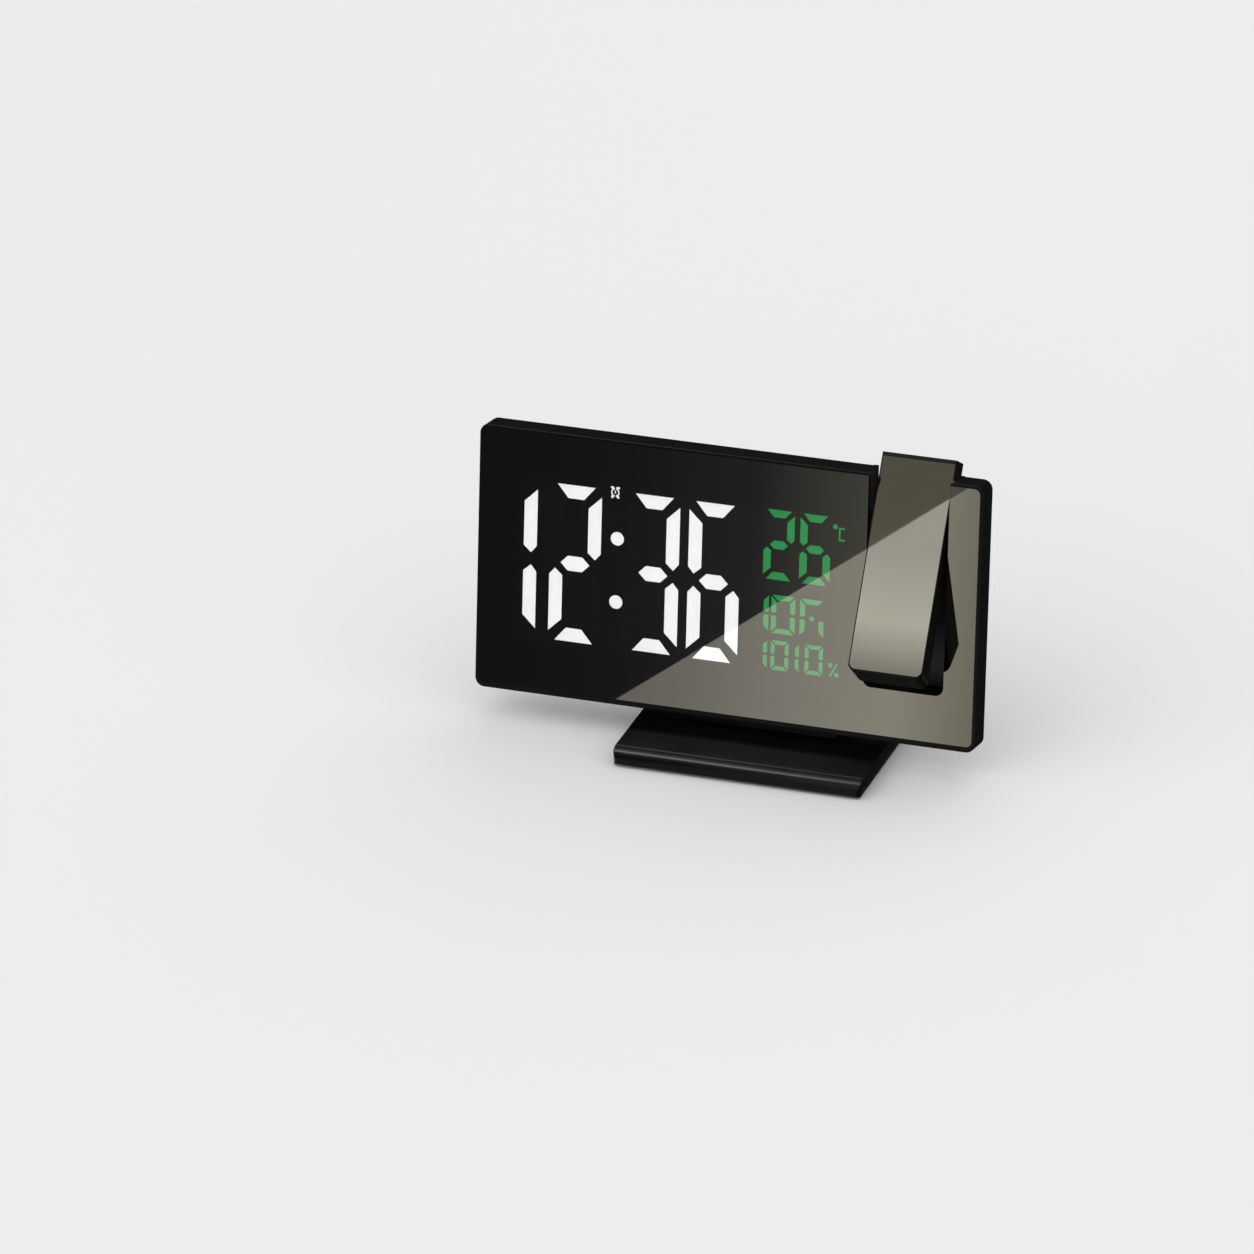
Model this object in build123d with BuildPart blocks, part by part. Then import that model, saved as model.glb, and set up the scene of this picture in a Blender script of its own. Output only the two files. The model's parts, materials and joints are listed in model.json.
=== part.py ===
"""Projection alarm clock with a smoked-mirror front, a swing-out projector arm and a tongue base.

Millimetres, +Z up, the clock faces -Y. The origin is the middle of the footprint on the table.
The clock body leans back on its base, so its pieces are drawn on planes of the leaning body:
on such a plane x runs to the right, y runs up the body, and a depth is counted from the front.
"""

import os
from math import cos, radians, sin, tan

from build123d import *

os.makedirs("parts", exist_ok=True)

# ---------------------------------------------------------------- driving dimensions

# Clock body
body_width = 190.0
body_height = 98.0
body_depth = 10.5
body_corner_radius = 3.5
body_lean = 12.0
bezel_side = 1.3
bezel_top = 1.2
bezel_bottom = 2.1
rear_edge_chamfer = 0.8
front_edge_radius = 0.45
mirror_thickness = 2.0
mirror_corner_radius = 2.2
ledge_width = 2.0
ledge_thickness = 1.2
cover_plate_thickness = 1.6
cover_wall = 1.8

# Slot for the projector arm
slot_from_right = 27.6
slot_width = 30.3
slot_foot_room = 5.5
slot_corner_radius = 3.2
slot_wall = 1.8

# Projector arm, measured from its pivot axis
arm_side_gap = 1.35
arm_depth = 11.0
arm_reach_up = 25.0
arm_reach_down = 53.3
arm_heel_drop = 2.3
arm_rear_radius = 3.5
arm_corner_radius = 2.6
arm_top_border = 1.4
arm_bottom_border = 0.7
arm_side_border = 0.35
arm_mirror_thickness = 1.5
arm_wall = 1.2
arm_screw_side = 8.0
arm_screw_rise = 3.8
arm_screw_over_pivot = 10.0
arm_opening = 23.0
pivot_from_top = 19.8
pivot_depth = 5.5
pivot_pin_radius = 1.6
pivot_lead_hole_radius = 0.8
pivot_pin_seat = 3.6
pivot_pin_collar = 0.8
bush_wall = 0.7
bush_flange_width = 0.9
bush_flange_thickness = 0.9
pivot_boss_radius = 3.4
pivot_boss_depth = 2.4
friction_washer_thickness = 0.3

# Projector inside the arm
barrel_side = 7.0
barrel_start = 3.0
barrel_length = 10.6
lens_radius = 2.95
lens_thickness = 2.4
image_gate_thickness = 1.1
focus_tube_radius = 2.9
focus_tube_wall = 0.6
focus_tube_start = 13.9
focus_collar_radius = 3.2
focus_collar_thickness = 0.8
focus_rim_radius = 3.5
focus_rim_thickness = 1.6
focus_guide_width = 11.0
arm_board_size = (18.0, 38.0)
arm_board_middle = -24.0
arm_board_thickness = 1.0
driver_chip_size = (5.0, 5.0, 1.2)
projector_led_radius = 1.8
projector_led_length = 8.8

# Display
light_box_thickness = 5.0
diffuser_thickness = 1.2
board_thickness = 1.6
led_side = 1.0
led_thickness = 0.7

# Rear housing
housing_from_left = 15.0
housing_from_slot = 7.45
housing_bottom = 8.0
housing_from_top = 12.0
housing_depth = 22.0
housing_corner_radius = 5.0
housing_edge_radius = 2.5
arm_bay_clearance = 0.8
arm_stop_room = 1.2

# Main board and what is on it
main_board_from_right = 27.4
main_board_foot_room = 7.0
main_board_head_room = 8.0
main_board_width = 50.0
main_board_depth = 12.6
board_post_radius = 2.6
board_post_inset = 3.5
button_radius = 2.9
button_flange_radius = 3.7
button_flange_thickness = 0.9
button_proud = 0.9
button_travel = 0.5
button_pitch = 9.5
button_row_drop = 13.0
switch_side = 6.0
switch_thickness = 3.4
plunger_radius = 1.6
plunger_length = 0.5
buzzer_offset = (14.4, -1.5)
buzzer_radius = 6.0
buzzer_thickness = 5.2
buzzer_hole_radius = 1.2
chip_offset = (-2.6, -1.5)
chip_size = (9.0, 9.0, 1.6)
crystal_offset = (-2.6, 7.5)
crystal_size = (9.0, 3.6, 3.2)
capacitor_offsets = [(-16.6, 12.5), (-9.1, 9.5)]
capacitor_radius = 2.5
capacitor_length = 5.2
sensor_offset = (-18.6, 7.5)
sensor_size = (3.6, 3.6, 1.4)
port_row_rise = 9.0
charging_port_offset = 6.4
charging_port_size = (13.1, 5.7)
charging_port_wall = 0.4
charging_tongue_size = (10.4, 1.7)
power_inlet_offset = -13.6
power_inlet_side = 9.0
power_inlet_bore_radius = 2.75
power_inlet_bore_depth = 6.5
inlet_pin_radius = 0.9

# Coin cell bay
cell_from_corner = (28.0, 26.0)
cell_radius = 10.0
cell_thickness = 3.2
cell_holder_radius = 15.2
cell_holder_floor = 0.8
door_radius = 12.4
door_lug_radius = 13.4
door_lug_width = 5.6
door_lug_thickness = 1.0
door_turn = 35.0
contact_thickness = 0.4

# Base
base_from_housing_right = 29.7
base_width = 93.4
base_front_reach = 24.0
base_rear_reach = 42.0
base_thickness = 6.0
base_nose_radius = 4.6
base_lip_radius = 0.9
base_corner_radius = 2.0
base_wall = 1.6
base_nose_wall = 3.1
base_plate_thickness = 1.2
body_gap = 4.6
neck_width = 56.0
neck_front_depth = 6.0
neck_screw_reach = 18.0
neck_screw_depth = 15.2
ballast_side_margin = 14.2
ballast_front_margin = 9.5
ballast_depth = 22.0
ballast_thickness = 1.6
foot_radius = 4.0
foot_proud = 0.8
foot_recess = 0.5
foot_inset = (8.2, 7.5)
base_screw_inset = (19.2, 5.5)

# Screws and fits
screw_radius = 1.1
screw_head_radius = 2.0
screw_head_thickness = 1.2
case_screw_length = 5.0
board_screw_length = 6.0
neck_screw_bite = 5.0
base_screw_length = 2.4
post_radius = 3.0
running_gap = 0.05
moving_gap = 0.2
seat_gap = 0.1

# ---------------------------------------------------------------- places of the leaning body

lean = radians(body_lean)
opening = radians(arm_opening)
up = Vector(0, sin(lean), cos(lean))
back = Vector(0, cos(lean), -sin(lean))
base_depth = base_front_reach + base_rear_reach
slot_center_x = body_width / 2 - slot_from_right
slot_left = slot_center_x - slot_width / 2
slot_right = slot_center_x + slot_width / 2
pivot_height = body_height - pivot_from_top
slot_bottom = pivot_height - arm_reach_down - slot_foot_room
housing_left = housing_from_left - body_width / 2
housing_right = slot_left - slot_wall - housing_from_slot
housing_top = body_height - housing_from_top
main_board_x = housing_right - main_board_from_right
main_board_low = housing_bottom + main_board_foot_room
main_board_high = housing_top - main_board_head_room
main_board_height = (main_board_low + main_board_high) / 2
base_center_x = housing_right - base_from_housing_right
base_top = foot_proud + base_thickness
body_foot = Vector(0, base_front_reach - base_depth / 2, base_top + body_gap)


def body_point(x, height, depth):
    """A place in the leaning body: to the right, up the body, and behind its front."""
    return body_foot + Vector(x, 0, 0) + up * height + back * depth


def body_face(depth):
    """The plane at a depth behind the front, facing forward."""
    return Plane(origin=body_point(0, 0, depth), x_dir=(1, 0, 0), z_dir=-back)


def body_level(x, height, depth):
    """The plane across the body at a height, facing up the body."""
    return Plane(origin=body_point(x, height, depth), x_dir=(1, 0, 0), z_dir=up)


def body_side(x, height, depth):
    """The plane square to the pivot axis, facing right."""
    return Plane(origin=body_point(x, height, depth), x_dir=back, z_dir=(1, 0, 0))


# The arm turns about the pivot: its foot swings forward, its head swings back.
arm_up = up * cos(opening) + back * sin(opening)
arm_back = back * cos(opening) - up * sin(opening)
arm_width = slot_width - 2 * arm_side_gap


def arm_point(x, height, depth):
    """A place in the arm: right of its middle, above the pivot, and behind its front."""
    pivot = body_point(slot_center_x, pivot_height, pivot_depth)
    return pivot + Vector(x, 0, 0) + arm_up * height + arm_back * (depth - pivot_depth)


def arm_face(depth):
    """The plane at a depth behind the arm's front, facing forward."""
    return Plane(origin=arm_point(0, 0, depth), x_dir=(1, 0, 0), z_dir=-arm_back)


def arm_level(height):
    """The plane across the arm at a height over the pivot, on the optical axis."""
    return Plane(origin=arm_point(0, height, pivot_depth), x_dir=(1, 0, 0), z_dir=arm_up)


def arm_side(x):
    """The plane square to the pivot axis at a place across the arm, facing right."""
    return Plane(origin=arm_point(x, 0, 0), x_dir=arm_back, z_dir=(1, 0, 0))


def save(builder, label):
    """Name a finished piece and write it to its own file."""
    builder.part.label = label
    export_step(builder.part, f"parts/{label}.step")


# ---------------------------------------------------------------- outlines used by several pieces

def slot_outline(grow, top=body_height + body_corner_radius, mode=Mode.SUBTRACT):
    """The arm's slot, open upwards past the top, grown outwards by a margin."""
    low = slot_bottom - grow
    high = top + slot_corner_radius + grow
    with Locations((slot_center_x, (low + high) / 2)):
        RectangleRounded(slot_width + 2 * grow, high - low, slot_corner_radius + grow, mode=mode)


def body_outline(inset_side, inset_top, inset_bottom, radius, mode=Mode.ADD):
    """The body's rounded outline, drawn in by a margin on each side."""
    low, high = inset_bottom, body_height - inset_top
    with Locations((0, (low + high) / 2)):
        RectangleRounded(body_width - 2 * inset_side, high - low, radius, mode=mode)


ledge_side = bezel_side + ledge_width
ledge_top = bezel_top + ledge_width
ledge_bottom = bezel_bottom + ledge_width
cover_front = body_depth - cover_plate_thickness

# Posts for the case screws: the four corners of the display, and two in the strip by the slot.
post_side = body_width / 2 - bezel_side - ledge_width - post_radius + 1.2
post_low = ledge_bottom + post_radius - 0.6
post_high = body_height - ledge_top - post_radius + 0.6
strip_post_x = (slot_right + slot_wall + body_width / 2 - bezel_side) / 2
slot_post_x = slot_left - slot_wall - post_radius + 0.4
case_posts = [
    (x, height) for x in (-post_side, slot_post_x, strip_post_x) for height in (post_low, post_high)
]

# ---------------------------------------------------------------- front frame

with BuildPart() as front_frame:
    with BuildSketch(body_face(body_depth)):
        body_outline(0, 0, 0, body_corner_radius)
    extrude(amount=body_depth)
    rear_edges = front_frame.faces().sort_by(Axis(body_foot, back))[-1].edges()
    chamfer(rear_edges, rear_edge_chamfer)
    fillet(front_frame.faces().sort_by(Axis(body_foot, back))[0].edges(), front_edge_radius)
    with BuildSketch(body_face(body_depth)):
        body_outline(bezel_side, bezel_top, bezel_bottom, mirror_corner_radius)
    extrude(amount=body_depth, mode=Mode.SUBTRACT)
    ledge_back = mirror_thickness + ledge_thickness
    with BuildSketch(body_face(ledge_back)):
        body_outline(bezel_side, bezel_top, bezel_bottom, mirror_corner_radius)
        body_outline(ledge_side, ledge_top, ledge_bottom, mirror_corner_radius, mode=Mode.SUBTRACT)
    extrude(amount=ledge_thickness)
    # Slot walls, from the mirror's back to the rear edge
    with BuildSketch(body_face(body_depth)):
        slot_outline(slot_wall, mode=Mode.ADD)
        body_outline(0, 0, 0, body_corner_radius, mode=Mode.INTERSECT)
    extrude(amount=body_depth - mirror_thickness)
    # Screw posts
    with BuildSketch(body_face(cover_front)):
        with Locations(*case_posts):
            Circle(post_radius)
    extrude(amount=cover_front - mirror_thickness)
    # Bosses for the pivot bushes, outside the slot walls
    for x in (slot_left - slot_wall - pivot_boss_depth, slot_right):
        with BuildSketch(body_side(x, pivot_height, pivot_depth)):
            Circle(pivot_boss_radius)
        extrude(amount=slot_wall + pivot_boss_depth)
    with BuildSketch(body_face(body_depth)):
        slot_outline(0, mode=Mode.ADD)
    extrude(amount=body_depth, mode=Mode.SUBTRACT)
    bush_radius = pivot_pin_radius + running_gap + bush_wall
    with BuildSketch(body_side(slot_left - slot_wall - pivot_boss_depth, pivot_height, pivot_depth)):
        Circle(bush_radius)
    extrude(amount=slot_width + 2 * (slot_wall + pivot_boss_depth), mode=Mode.SUBTRACT)
    with BuildSketch(body_face(cover_front)):
        with Locations(*case_posts):
            Circle(screw_radius)
    extrude(amount=cover_front - ledge_back, mode=Mode.SUBTRACT)
save(front_frame, "front_frame")

# ---------------------------------------------------------------- mirror

with BuildPart() as mirror_panel:
    with BuildSketch(body_face(mirror_thickness)):
        body_outline(bezel_side, bezel_top, bezel_bottom, mirror_corner_radius)
        slot_outline(0)
    extrude(amount=mirror_thickness)
save(mirror_panel, "mirror_panel")

# ---------------------------------------------------------------- display figures

# The display's field between the ledge and the slot; the figures are laid out across a field of
# this width, counted from its left edge, and spread with the field.
layout_width = 142.0
display_left = ledge_side + seat_gap - body_width / 2
display_right = slot_left - slot_wall - seat_gap
spread = (display_right - display_left) / layout_width

# Each row: the left edge of every figure, then bottom, width, height and stroke of the figures,
# how far its bars are mitred, and the letters of the bars that are lit in each figure.
time_rows = [((-1.0, 23.5, 53.3, 76.3), 20.6, 19.5, 58.2, 5.0, 1.0, ("bc", "abged", "abgcd", "afgecd"))]
small_rows = [
    ((104.6, 118.2), 53.7, 11.5, 25.7, 2.8, 0.85, ("abged", "afgecd")),
    ((98.2, 108.2, 119.0), 33.9, 9.0, 14.2, 1.9, 0.45, ("bc", "abcdef", "aefc")),
    ((100.2, 108.4, 112.3, 121.3), 20.4, 6.8, 10.9, 1.5, 0.45, ("bc", "abcdef", "bc", "abcdef")),
]
drawn_bars = {"bc": "bc", "aefc": "abcdef"}
colon_layout = [(49.2, 37.6), (49.2, 61.1)]
colon_radius = 2.5
date_dot_layout = (123.5, 41.0)
date_dot_radius = 0.9
degree_layout = (131.3, 76.0)
unit_letter_layout = (134.3, 73.4)
unit_letter_size = (3.2, 4.9)
percent_layout = (132.2, 23.2)
percent_size = (4.0, 5.6)
sign_line = 0.6
alarm_sign_layout = (48.0, 78.1)
alarm_sign_radius = 1.6
alarm_sign_line = 0.5
alarm_sign_gap = 0.5
alarm_sign_well = (4.6, 5.4)


def laid(layout):
    """A place in the body from a place in the display's layout."""
    return (display_left + layout[0] * spread, layout[1])


colon_places = [laid(layout) for layout in colon_layout]
date_dot_place = laid(date_dot_layout)
degree_place = laid(degree_layout)
unit_letter_place = laid(unit_letter_layout)
percent_place = laid(percent_layout)
alarm_sign_place = laid(alarm_sign_layout)


def bar_points(letter, left, bottom, width, height, stroke, mitre):
    """The corners of one bar of a seven-bar figure, with mitred ends that leave a gap."""
    right, top, middle = left + width, bottom + height, bottom + height / 2
    cut = mitre * stroke
    flat = [
        (left + 0.5 * cut, top),
        (left + stroke + 0.35 * cut, top - stroke),
        (right - stroke - 0.35 * cut, top - stroke),
        (right - 0.5 * cut, top),
    ]
    upright = [
        (left, top - 0.65 * cut),
        (left, middle + 0.95 * cut),
        (left + 0.43 * stroke, middle + 0.45 * cut),
        (left + stroke, middle + 0.95 * cut),
        (left + stroke, top - stroke - 0.6 * cut),
    ]
    bar = [
        (left + 0.85 * stroke, middle),
        (left + 1.4 * stroke, middle - 0.55 * stroke),
        (right - 1.4 * stroke, middle - 0.55 * stroke),
        (right - 0.85 * stroke, middle),
        (right - 1.4 * stroke, middle + 0.55 * stroke),
        (left + 1.4 * stroke, middle + 0.55 * stroke),
    ]
    points = {"a": flat, "d": flat, "g": bar}.get(letter, upright)
    if letter in "ced":
        points = [(x, 2 * middle - y) for x, y in reversed(points)]
    if letter in "bc":
        points = [(left + right - x, y) for x, y in reversed(points)]
    return points


def bars(rows, kinds=(True, False)):
    """The corner lists of the bars in some rows: lit ones, dark ones, or both."""
    found = []
    for lefts, bottom, width, height, stroke, mitre, lit in rows:
        for left, letters in zip(lefts, lit):
            for letter in drawn_bars.get(letters, "abcdefg"):
                if (letter in letters) in kinds:
                    place = display_left + left * spread
                    found.append(bar_points(letter, place, bottom, width * spread, height, stroke, mitre))
    return found


def draw_bars(corner_lists, mode=Mode.ADD):
    """Draw some bars."""
    for points in corner_lists:
        Polygon(*points, align=None, mode=mode)


def small_signs(mode=Mode.ADD):
    """The dot of the date row, the degree sign with its letter, and the percent sign."""
    with Locations(date_dot_place):
        Circle(date_dot_radius, mode=mode)
    with Locations(degree_place):
        Circle(date_dot_radius, mode=mode)
    letter_width, letter_height = unit_letter_size
    with Locations(unit_letter_place):
        with Locations((sign_line / 2 - letter_width / 2, 0)):
            Rectangle(sign_line, letter_height, mode=mode)
        with Locations((0, sign_line / 2 - letter_height / 2), (0, letter_height / 2 - sign_line / 2)):
            Rectangle(letter_width, sign_line, mode=mode)
    percent_width, percent_height = percent_size
    with Locations(percent_place):
        with Locations((-0.3 * percent_width, 0.3 * percent_height), (0.3 * percent_width, -0.3 * percent_height)):
            Circle(1.4 * sign_line, mode=mode)
        Rectangle(sign_line, percent_height, rotation=-28, mode=mode)


with BuildSketch() as alarm_shape:
    Circle(alarm_sign_radius)
    bell_reach, bell_rise, foot_drop = (share * alarm_sign_radius for share in (0.68, 1.14, 1.04))
    with Locations([(bell_reach * side, bell_rise) for side in (-1, 1)]):
        Circle(1.3 * alarm_sign_line)
    with Locations([(bell_reach * side, -foot_drop) for side in (-1, 1)]):
        Circle(alarm_sign_line)
    Circle(alarm_sign_radius - alarm_sign_line, mode=Mode.SUBTRACT)
    Rectangle(alarm_sign_gap, 4 * alarm_sign_radius, mode=Mode.SUBTRACT)
    with Locations((0, 0.4 * alarm_sign_line)):
        Rectangle(0.8 * alarm_sign_line, 2.2 * alarm_sign_line)


def alarm_sign(mode=Mode.ADD):
    """A small alarm clock: a ring in two halves, each with a bell and a foot, round a hand."""
    with Locations(alarm_sign_place):
        add(alarm_shape.sketch, mode=mode)


light_front = mirror_thickness + seat_gap / 2
light_back = light_front + light_box_thickness
diffuser_back = light_front + diffuser_thickness
board_back = light_back + board_thickness

def display_outline():
    """The display's field inside the ledge, with room for the posts and the pivot boss."""
    body_outline(ledge_side + seat_gap, ledge_top + seat_gap, ledge_bottom + seat_gap, mirror_corner_radius)
    with Locations((display_right, body_height / 2)):
        Rectangle(body_width, 2 * body_height, align=(Align.MIN, Align.CENTER), mode=Mode.SUBTRACT)
    relief = 2 * (post_radius + moving_gap)
    with Locations(*case_posts):
        Rectangle(relief, relief, mode=Mode.SUBTRACT)
    with Locations((slot_left - slot_wall, pivot_height)):
        Rectangle(2 * (pivot_boss_depth + moving_gap), 2 * pivot_boss_radius + 1, mode=Mode.SUBTRACT)


with BuildPart() as light_box:
    with BuildSketch(body_face(light_back)):
        display_outline()
        draw_bars(bars(time_rows) + bars(small_rows), mode=Mode.SUBTRACT)
        with Locations(*colon_places):
            Circle(colon_radius, mode=Mode.SUBTRACT)
        with Locations(alarm_sign_place):
            Rectangle(*alarm_sign_well, mode=Mode.SUBTRACT)
        with Locations(degree_place):
            Circle(date_dot_radius, mode=Mode.SUBTRACT)
        with Locations(unit_letter_place):
            Rectangle(*unit_letter_size, mode=Mode.SUBTRACT)
        with Locations(percent_place):
            Rectangle(*percent_size, mode=Mode.SUBTRACT)
        with Locations(date_dot_place):
            Circle(date_dot_radius, mode=Mode.SUBTRACT)
    extrude(amount=light_back - diffuser_back)
    with BuildSketch(body_face(diffuser_back)):
        display_outline()
        draw_bars(bars(time_rows) + bars(small_rows), mode=Mode.SUBTRACT)
        with Locations(*colon_places):
            Circle(colon_radius, mode=Mode.SUBTRACT)
        small_signs(mode=Mode.SUBTRACT)
        alarm_sign(mode=Mode.SUBTRACT)
    extrude(amount=diffuser_thickness)
save(light_box, "light_box")

with BuildPart() as time_figures:
    with BuildSketch(body_face(diffuser_back)):
        draw_bars(bars(time_rows, (True,)))
    extrude(amount=diffuser_thickness)
save(time_figures, "time_figures")

with BuildPart() as colon_dots:
    with BuildSketch(body_face(diffuser_back)):
        with Locations(*colon_places):
            Circle(colon_radius)
    extrude(amount=diffuser_thickness)
save(colon_dots, "colon_dots")

with BuildPart() as alarm_pictogram:
    with BuildSketch(body_face(diffuser_back)):
        alarm_sign()
    extrude(amount=diffuser_thickness)
save(alarm_pictogram, "alarm_pictogram")

with BuildPart() as small_figures:
    with BuildSketch(body_face(diffuser_back)):
        draw_bars(bars(small_rows, (True,)))
        small_signs()
    extrude(amount=diffuser_thickness)
save(small_figures, "small_figures")

with BuildPart() as dark_segments:
    with BuildSketch(body_face(diffuser_back)):
        draw_bars(bars(time_rows, (False,)) + bars(small_rows, (False,)))
    extrude(amount=diffuser_thickness)
save(dark_segments, "dark_segments")

with BuildPart() as display_board:
    with BuildSketch(body_face(board_back)):
        display_outline()
    extrude(amount=board_thickness)
save(display_board, "display_board")

lamp_places = colon_places + [degree_place, percent_place, alarm_sign_place]
for corners in bars(time_rows) + bars(small_rows):
    lamp_places.append((sum(x for x, _ in corners) / len(corners), sum(y for _, y in corners) / len(corners)))

with BuildPart() as display_leds:
    with BuildSketch(body_face(light_back)):
        with Locations(*lamp_places):
            Rectangle(led_side, led_side)
    extrude(amount=led_thickness)
save(display_leds, "display_leds")

# ---------------------------------------------------------------- rear cover

housing_width = housing_right - housing_left
housing_height = housing_top - housing_bottom
housing_middle = ((housing_left + housing_right) / 2, (housing_bottom + housing_top) / 2)
housing_floor = housing_depth - cover_wall
cover_gap = 1.5 * seat_gap
bay_floor = arm_depth + arm_bay_clearance
bay_top = pivot_height - (arm_depth - pivot_depth) - arm_stop_room
board_front = main_board_depth
board_rear = board_front + board_thickness
board_half_width = main_board_width / 2 - board_post_inset
board_posts = [
    (main_board_x + side * board_half_width, height)
    for side in (-1, 1)
    for height in (main_board_low + board_post_inset, main_board_high - board_post_inset)
]
button_height = main_board_high - button_row_drop
port_height = main_board_low + port_row_rise
button_places = [(main_board_x + button_pitch * step, button_height) for step in range(-2, 3)]


def on_board(offset):
    """A place on the main board, counted from its middle."""
    return (main_board_x + offset[0], main_board_height + offset[1])


buzzer_place = on_board(buzzer_offset)
power_inlet_place = (main_board_x + power_inlet_offset, port_height)
charging_port_place = (main_board_x + charging_port_offset, port_height)
capacitor_places = [(main_board_x + side, port_height + rise) for side, rise in capacitor_offsets]
cell_place = (housing_left + cell_from_corner[0], housing_bottom + cell_from_corner[1])
neck_screw_places = [(base_center_x - neck_screw_reach, neck_screw_depth), (base_center_x + neck_screw_reach, neck_screw_depth)]
vent_size = (1.6, 13.0)
vent_pitch = 4.0
vent_from_side = 12.0
vent_from_top = 17.0
vent_room = button_places[0][0] - 2 * button_flange_radius - housing_left - vent_from_side
vent_places = [
    (housing_left + vent_from_side + vent_pitch * step, housing_top - vent_from_top)
    for step in range(int(vent_room / vent_pitch) + 1)
]
sound_holes = [(buzzer_place[0] + 2.6 * step, buzzer_place[1]) for step in (-1, 0, 1)]
case_screw_head = 1.1
case_screw_recess = 0.8
neck_boss_height = 3.4


def housing_outline(inset):
    """The rear housing's outline, drawn in by a wall."""
    with Locations(housing_middle):
        RectangleRounded(housing_width - 2 * inset, housing_height - 2 * inset, housing_corner_radius - inset)


with BuildPart() as rear_cover:
    with BuildSketch(body_face(body_depth)):
        body_outline(bezel_side + cover_gap, bezel_top + cover_gap, bezel_bottom + cover_gap, mirror_corner_radius)
        slot_outline(slot_wall + cover_gap)
    extrude(amount=cover_plate_thickness)
    with BuildSketch(body_face(housing_depth)):
        housing_outline(0)
    extrude(amount=housing_depth - cover_front)
    fillet(rear_cover.faces().sort_by(Axis(body_foot, back))[-1].edges(), housing_edge_radius)
    with BuildSketch(body_face(housing_floor)):
        housing_outline(cover_wall)
    extrude(amount=housing_floor - cover_front, mode=Mode.SUBTRACT)
    # The closed lower part of the arm's slot
    with BuildSketch(body_face(bay_floor + cover_wall)):
        slot_outline(slot_wall + cover_gap + cover_wall, mode=Mode.ADD)
        with Locations((slot_center_x, bay_top)):
            Rectangle(body_width, body_height, align=(Align.CENTER, Align.MIN), mode=Mode.SUBTRACT)
    extrude(amount=bay_floor + cover_wall - cover_front)
    with BuildSketch(body_face(bay_floor)):
        slot_outline(slot_wall + cover_gap, mode=Mode.ADD)
    extrude(amount=bay_floor - cover_front, mode=Mode.SUBTRACT)
    # Posts for the main board, and bosses for the neck screws
    with BuildSketch(body_face(housing_floor)):
        with Locations(*board_posts):
            Circle(board_post_radius)
    extrude(amount=housing_floor - board_rear)
    with BuildSketch(body_face(housing_floor)):
        with Locations(*board_posts):
            Circle(screw_radius)
    extrude(amount=housing_floor - board_rear, mode=Mode.SUBTRACT)
    with BuildSketch(body_level(0, housing_bottom + cover_wall / 2, 0)):
        with Locations(*neck_screw_places):
            Circle(post_radius)
    extrude(amount=cover_wall / 2 + neck_boss_height)
    with BuildSketch(body_level(0, housing_bottom, 0)):
        with Locations(*neck_screw_places):
            Circle(screw_radius)
    extrude(amount=cover_wall + neck_boss_height, mode=Mode.SUBTRACT)
    # Holes in the rear wall
    with BuildSketch(body_face(housing_depth)):
        with Locations(*button_places):
            Circle(button_radius + moving_gap)
        with Locations(power_inlet_place):
            Rectangle(power_inlet_side + 2 * moving_gap, power_inlet_side + 2 * moving_gap)
        with Locations(charging_port_place):
            Rectangle(*(side + 2 * moving_gap for side in charging_port_size))
        with Locations(*vent_places):
            SlotOverall(vent_size[1], vent_size[0], rotation=90)
        with Locations(*sound_holes):
            SlotOverall(vent_size[1] / 2, vent_size[0], rotation=90)
        with Locations(cell_place):
            Circle(door_radius + moving_gap)
    extrude(amount=cover_wall, mode=Mode.SUBTRACT)
    with BuildSketch(body_face(housing_depth)):
        with Locations(cell_place):
            Rectangle(3 * door_radius, door_lug_width + 4 * moving_gap, rotation=door_turn)
            Circle(door_lug_radius + moving_gap, mode=Mode.INTERSECT)
    extrude(amount=cover_wall, mode=Mode.SUBTRACT)
    # Case screws
    with BuildSketch(body_face(body_depth)):
        with Locations(*case_posts):
            Circle(screw_radius + seat_gap)
    extrude(amount=cover_plate_thickness, mode=Mode.SUBTRACT)
    with BuildSketch(body_face(body_depth)):
        with Locations(*case_posts):
            Circle(screw_head_radius + seat_gap)
    extrude(amount=case_screw_recess, mode=Mode.SUBTRACT)
save(rear_cover, "rear_cover")

# ---------------------------------------------------------------- screws


def add_screws(plane, places, length, head=screw_head_thickness):
    """Pan-head screws seated on a plane; a negative length turns them round."""
    way = 1 if length > 0 else -1
    with BuildSketch(plane) as shafts:
        with Locations(*places):
            Circle(screw_radius)
    extrude(shafts.sketch, amount=length)
    with BuildSketch(plane) as heads:
        with Locations(*places):
            Circle(screw_head_radius)
    extrude(heads.sketch, amount=-way * head)
    with BuildSketch(plane.offset(-way * head)) as crosses:
        with Locations(*places):
            Rectangle(1.3 * screw_head_radius, 0.25 * screw_head_radius)
            Rectangle(0.25 * screw_head_radius, 1.3 * screw_head_radius)
    extrude(crosses.sketch, amount=way * head / 2, mode=Mode.SUBTRACT)


with BuildPart() as case_screws:
    add_screws(body_face(body_depth - case_screw_recess), case_posts, case_screw_length, case_screw_head)
save(case_screws, "case_screws")

with BuildPart() as board_screws:
    add_screws(body_face(board_front), board_posts, -board_screw_length)
save(board_screws, "board_screws")

neck_roof = housing_bottom - cover_gap - base_wall
with BuildPart() as neck_screws:
    add_screws(body_level(0, neck_roof, 0), neck_screw_places, base_wall + neck_screw_bite)
save(neck_screws, "neck_screws")

# ---------------------------------------------------------------- main board and what is on it

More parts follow.
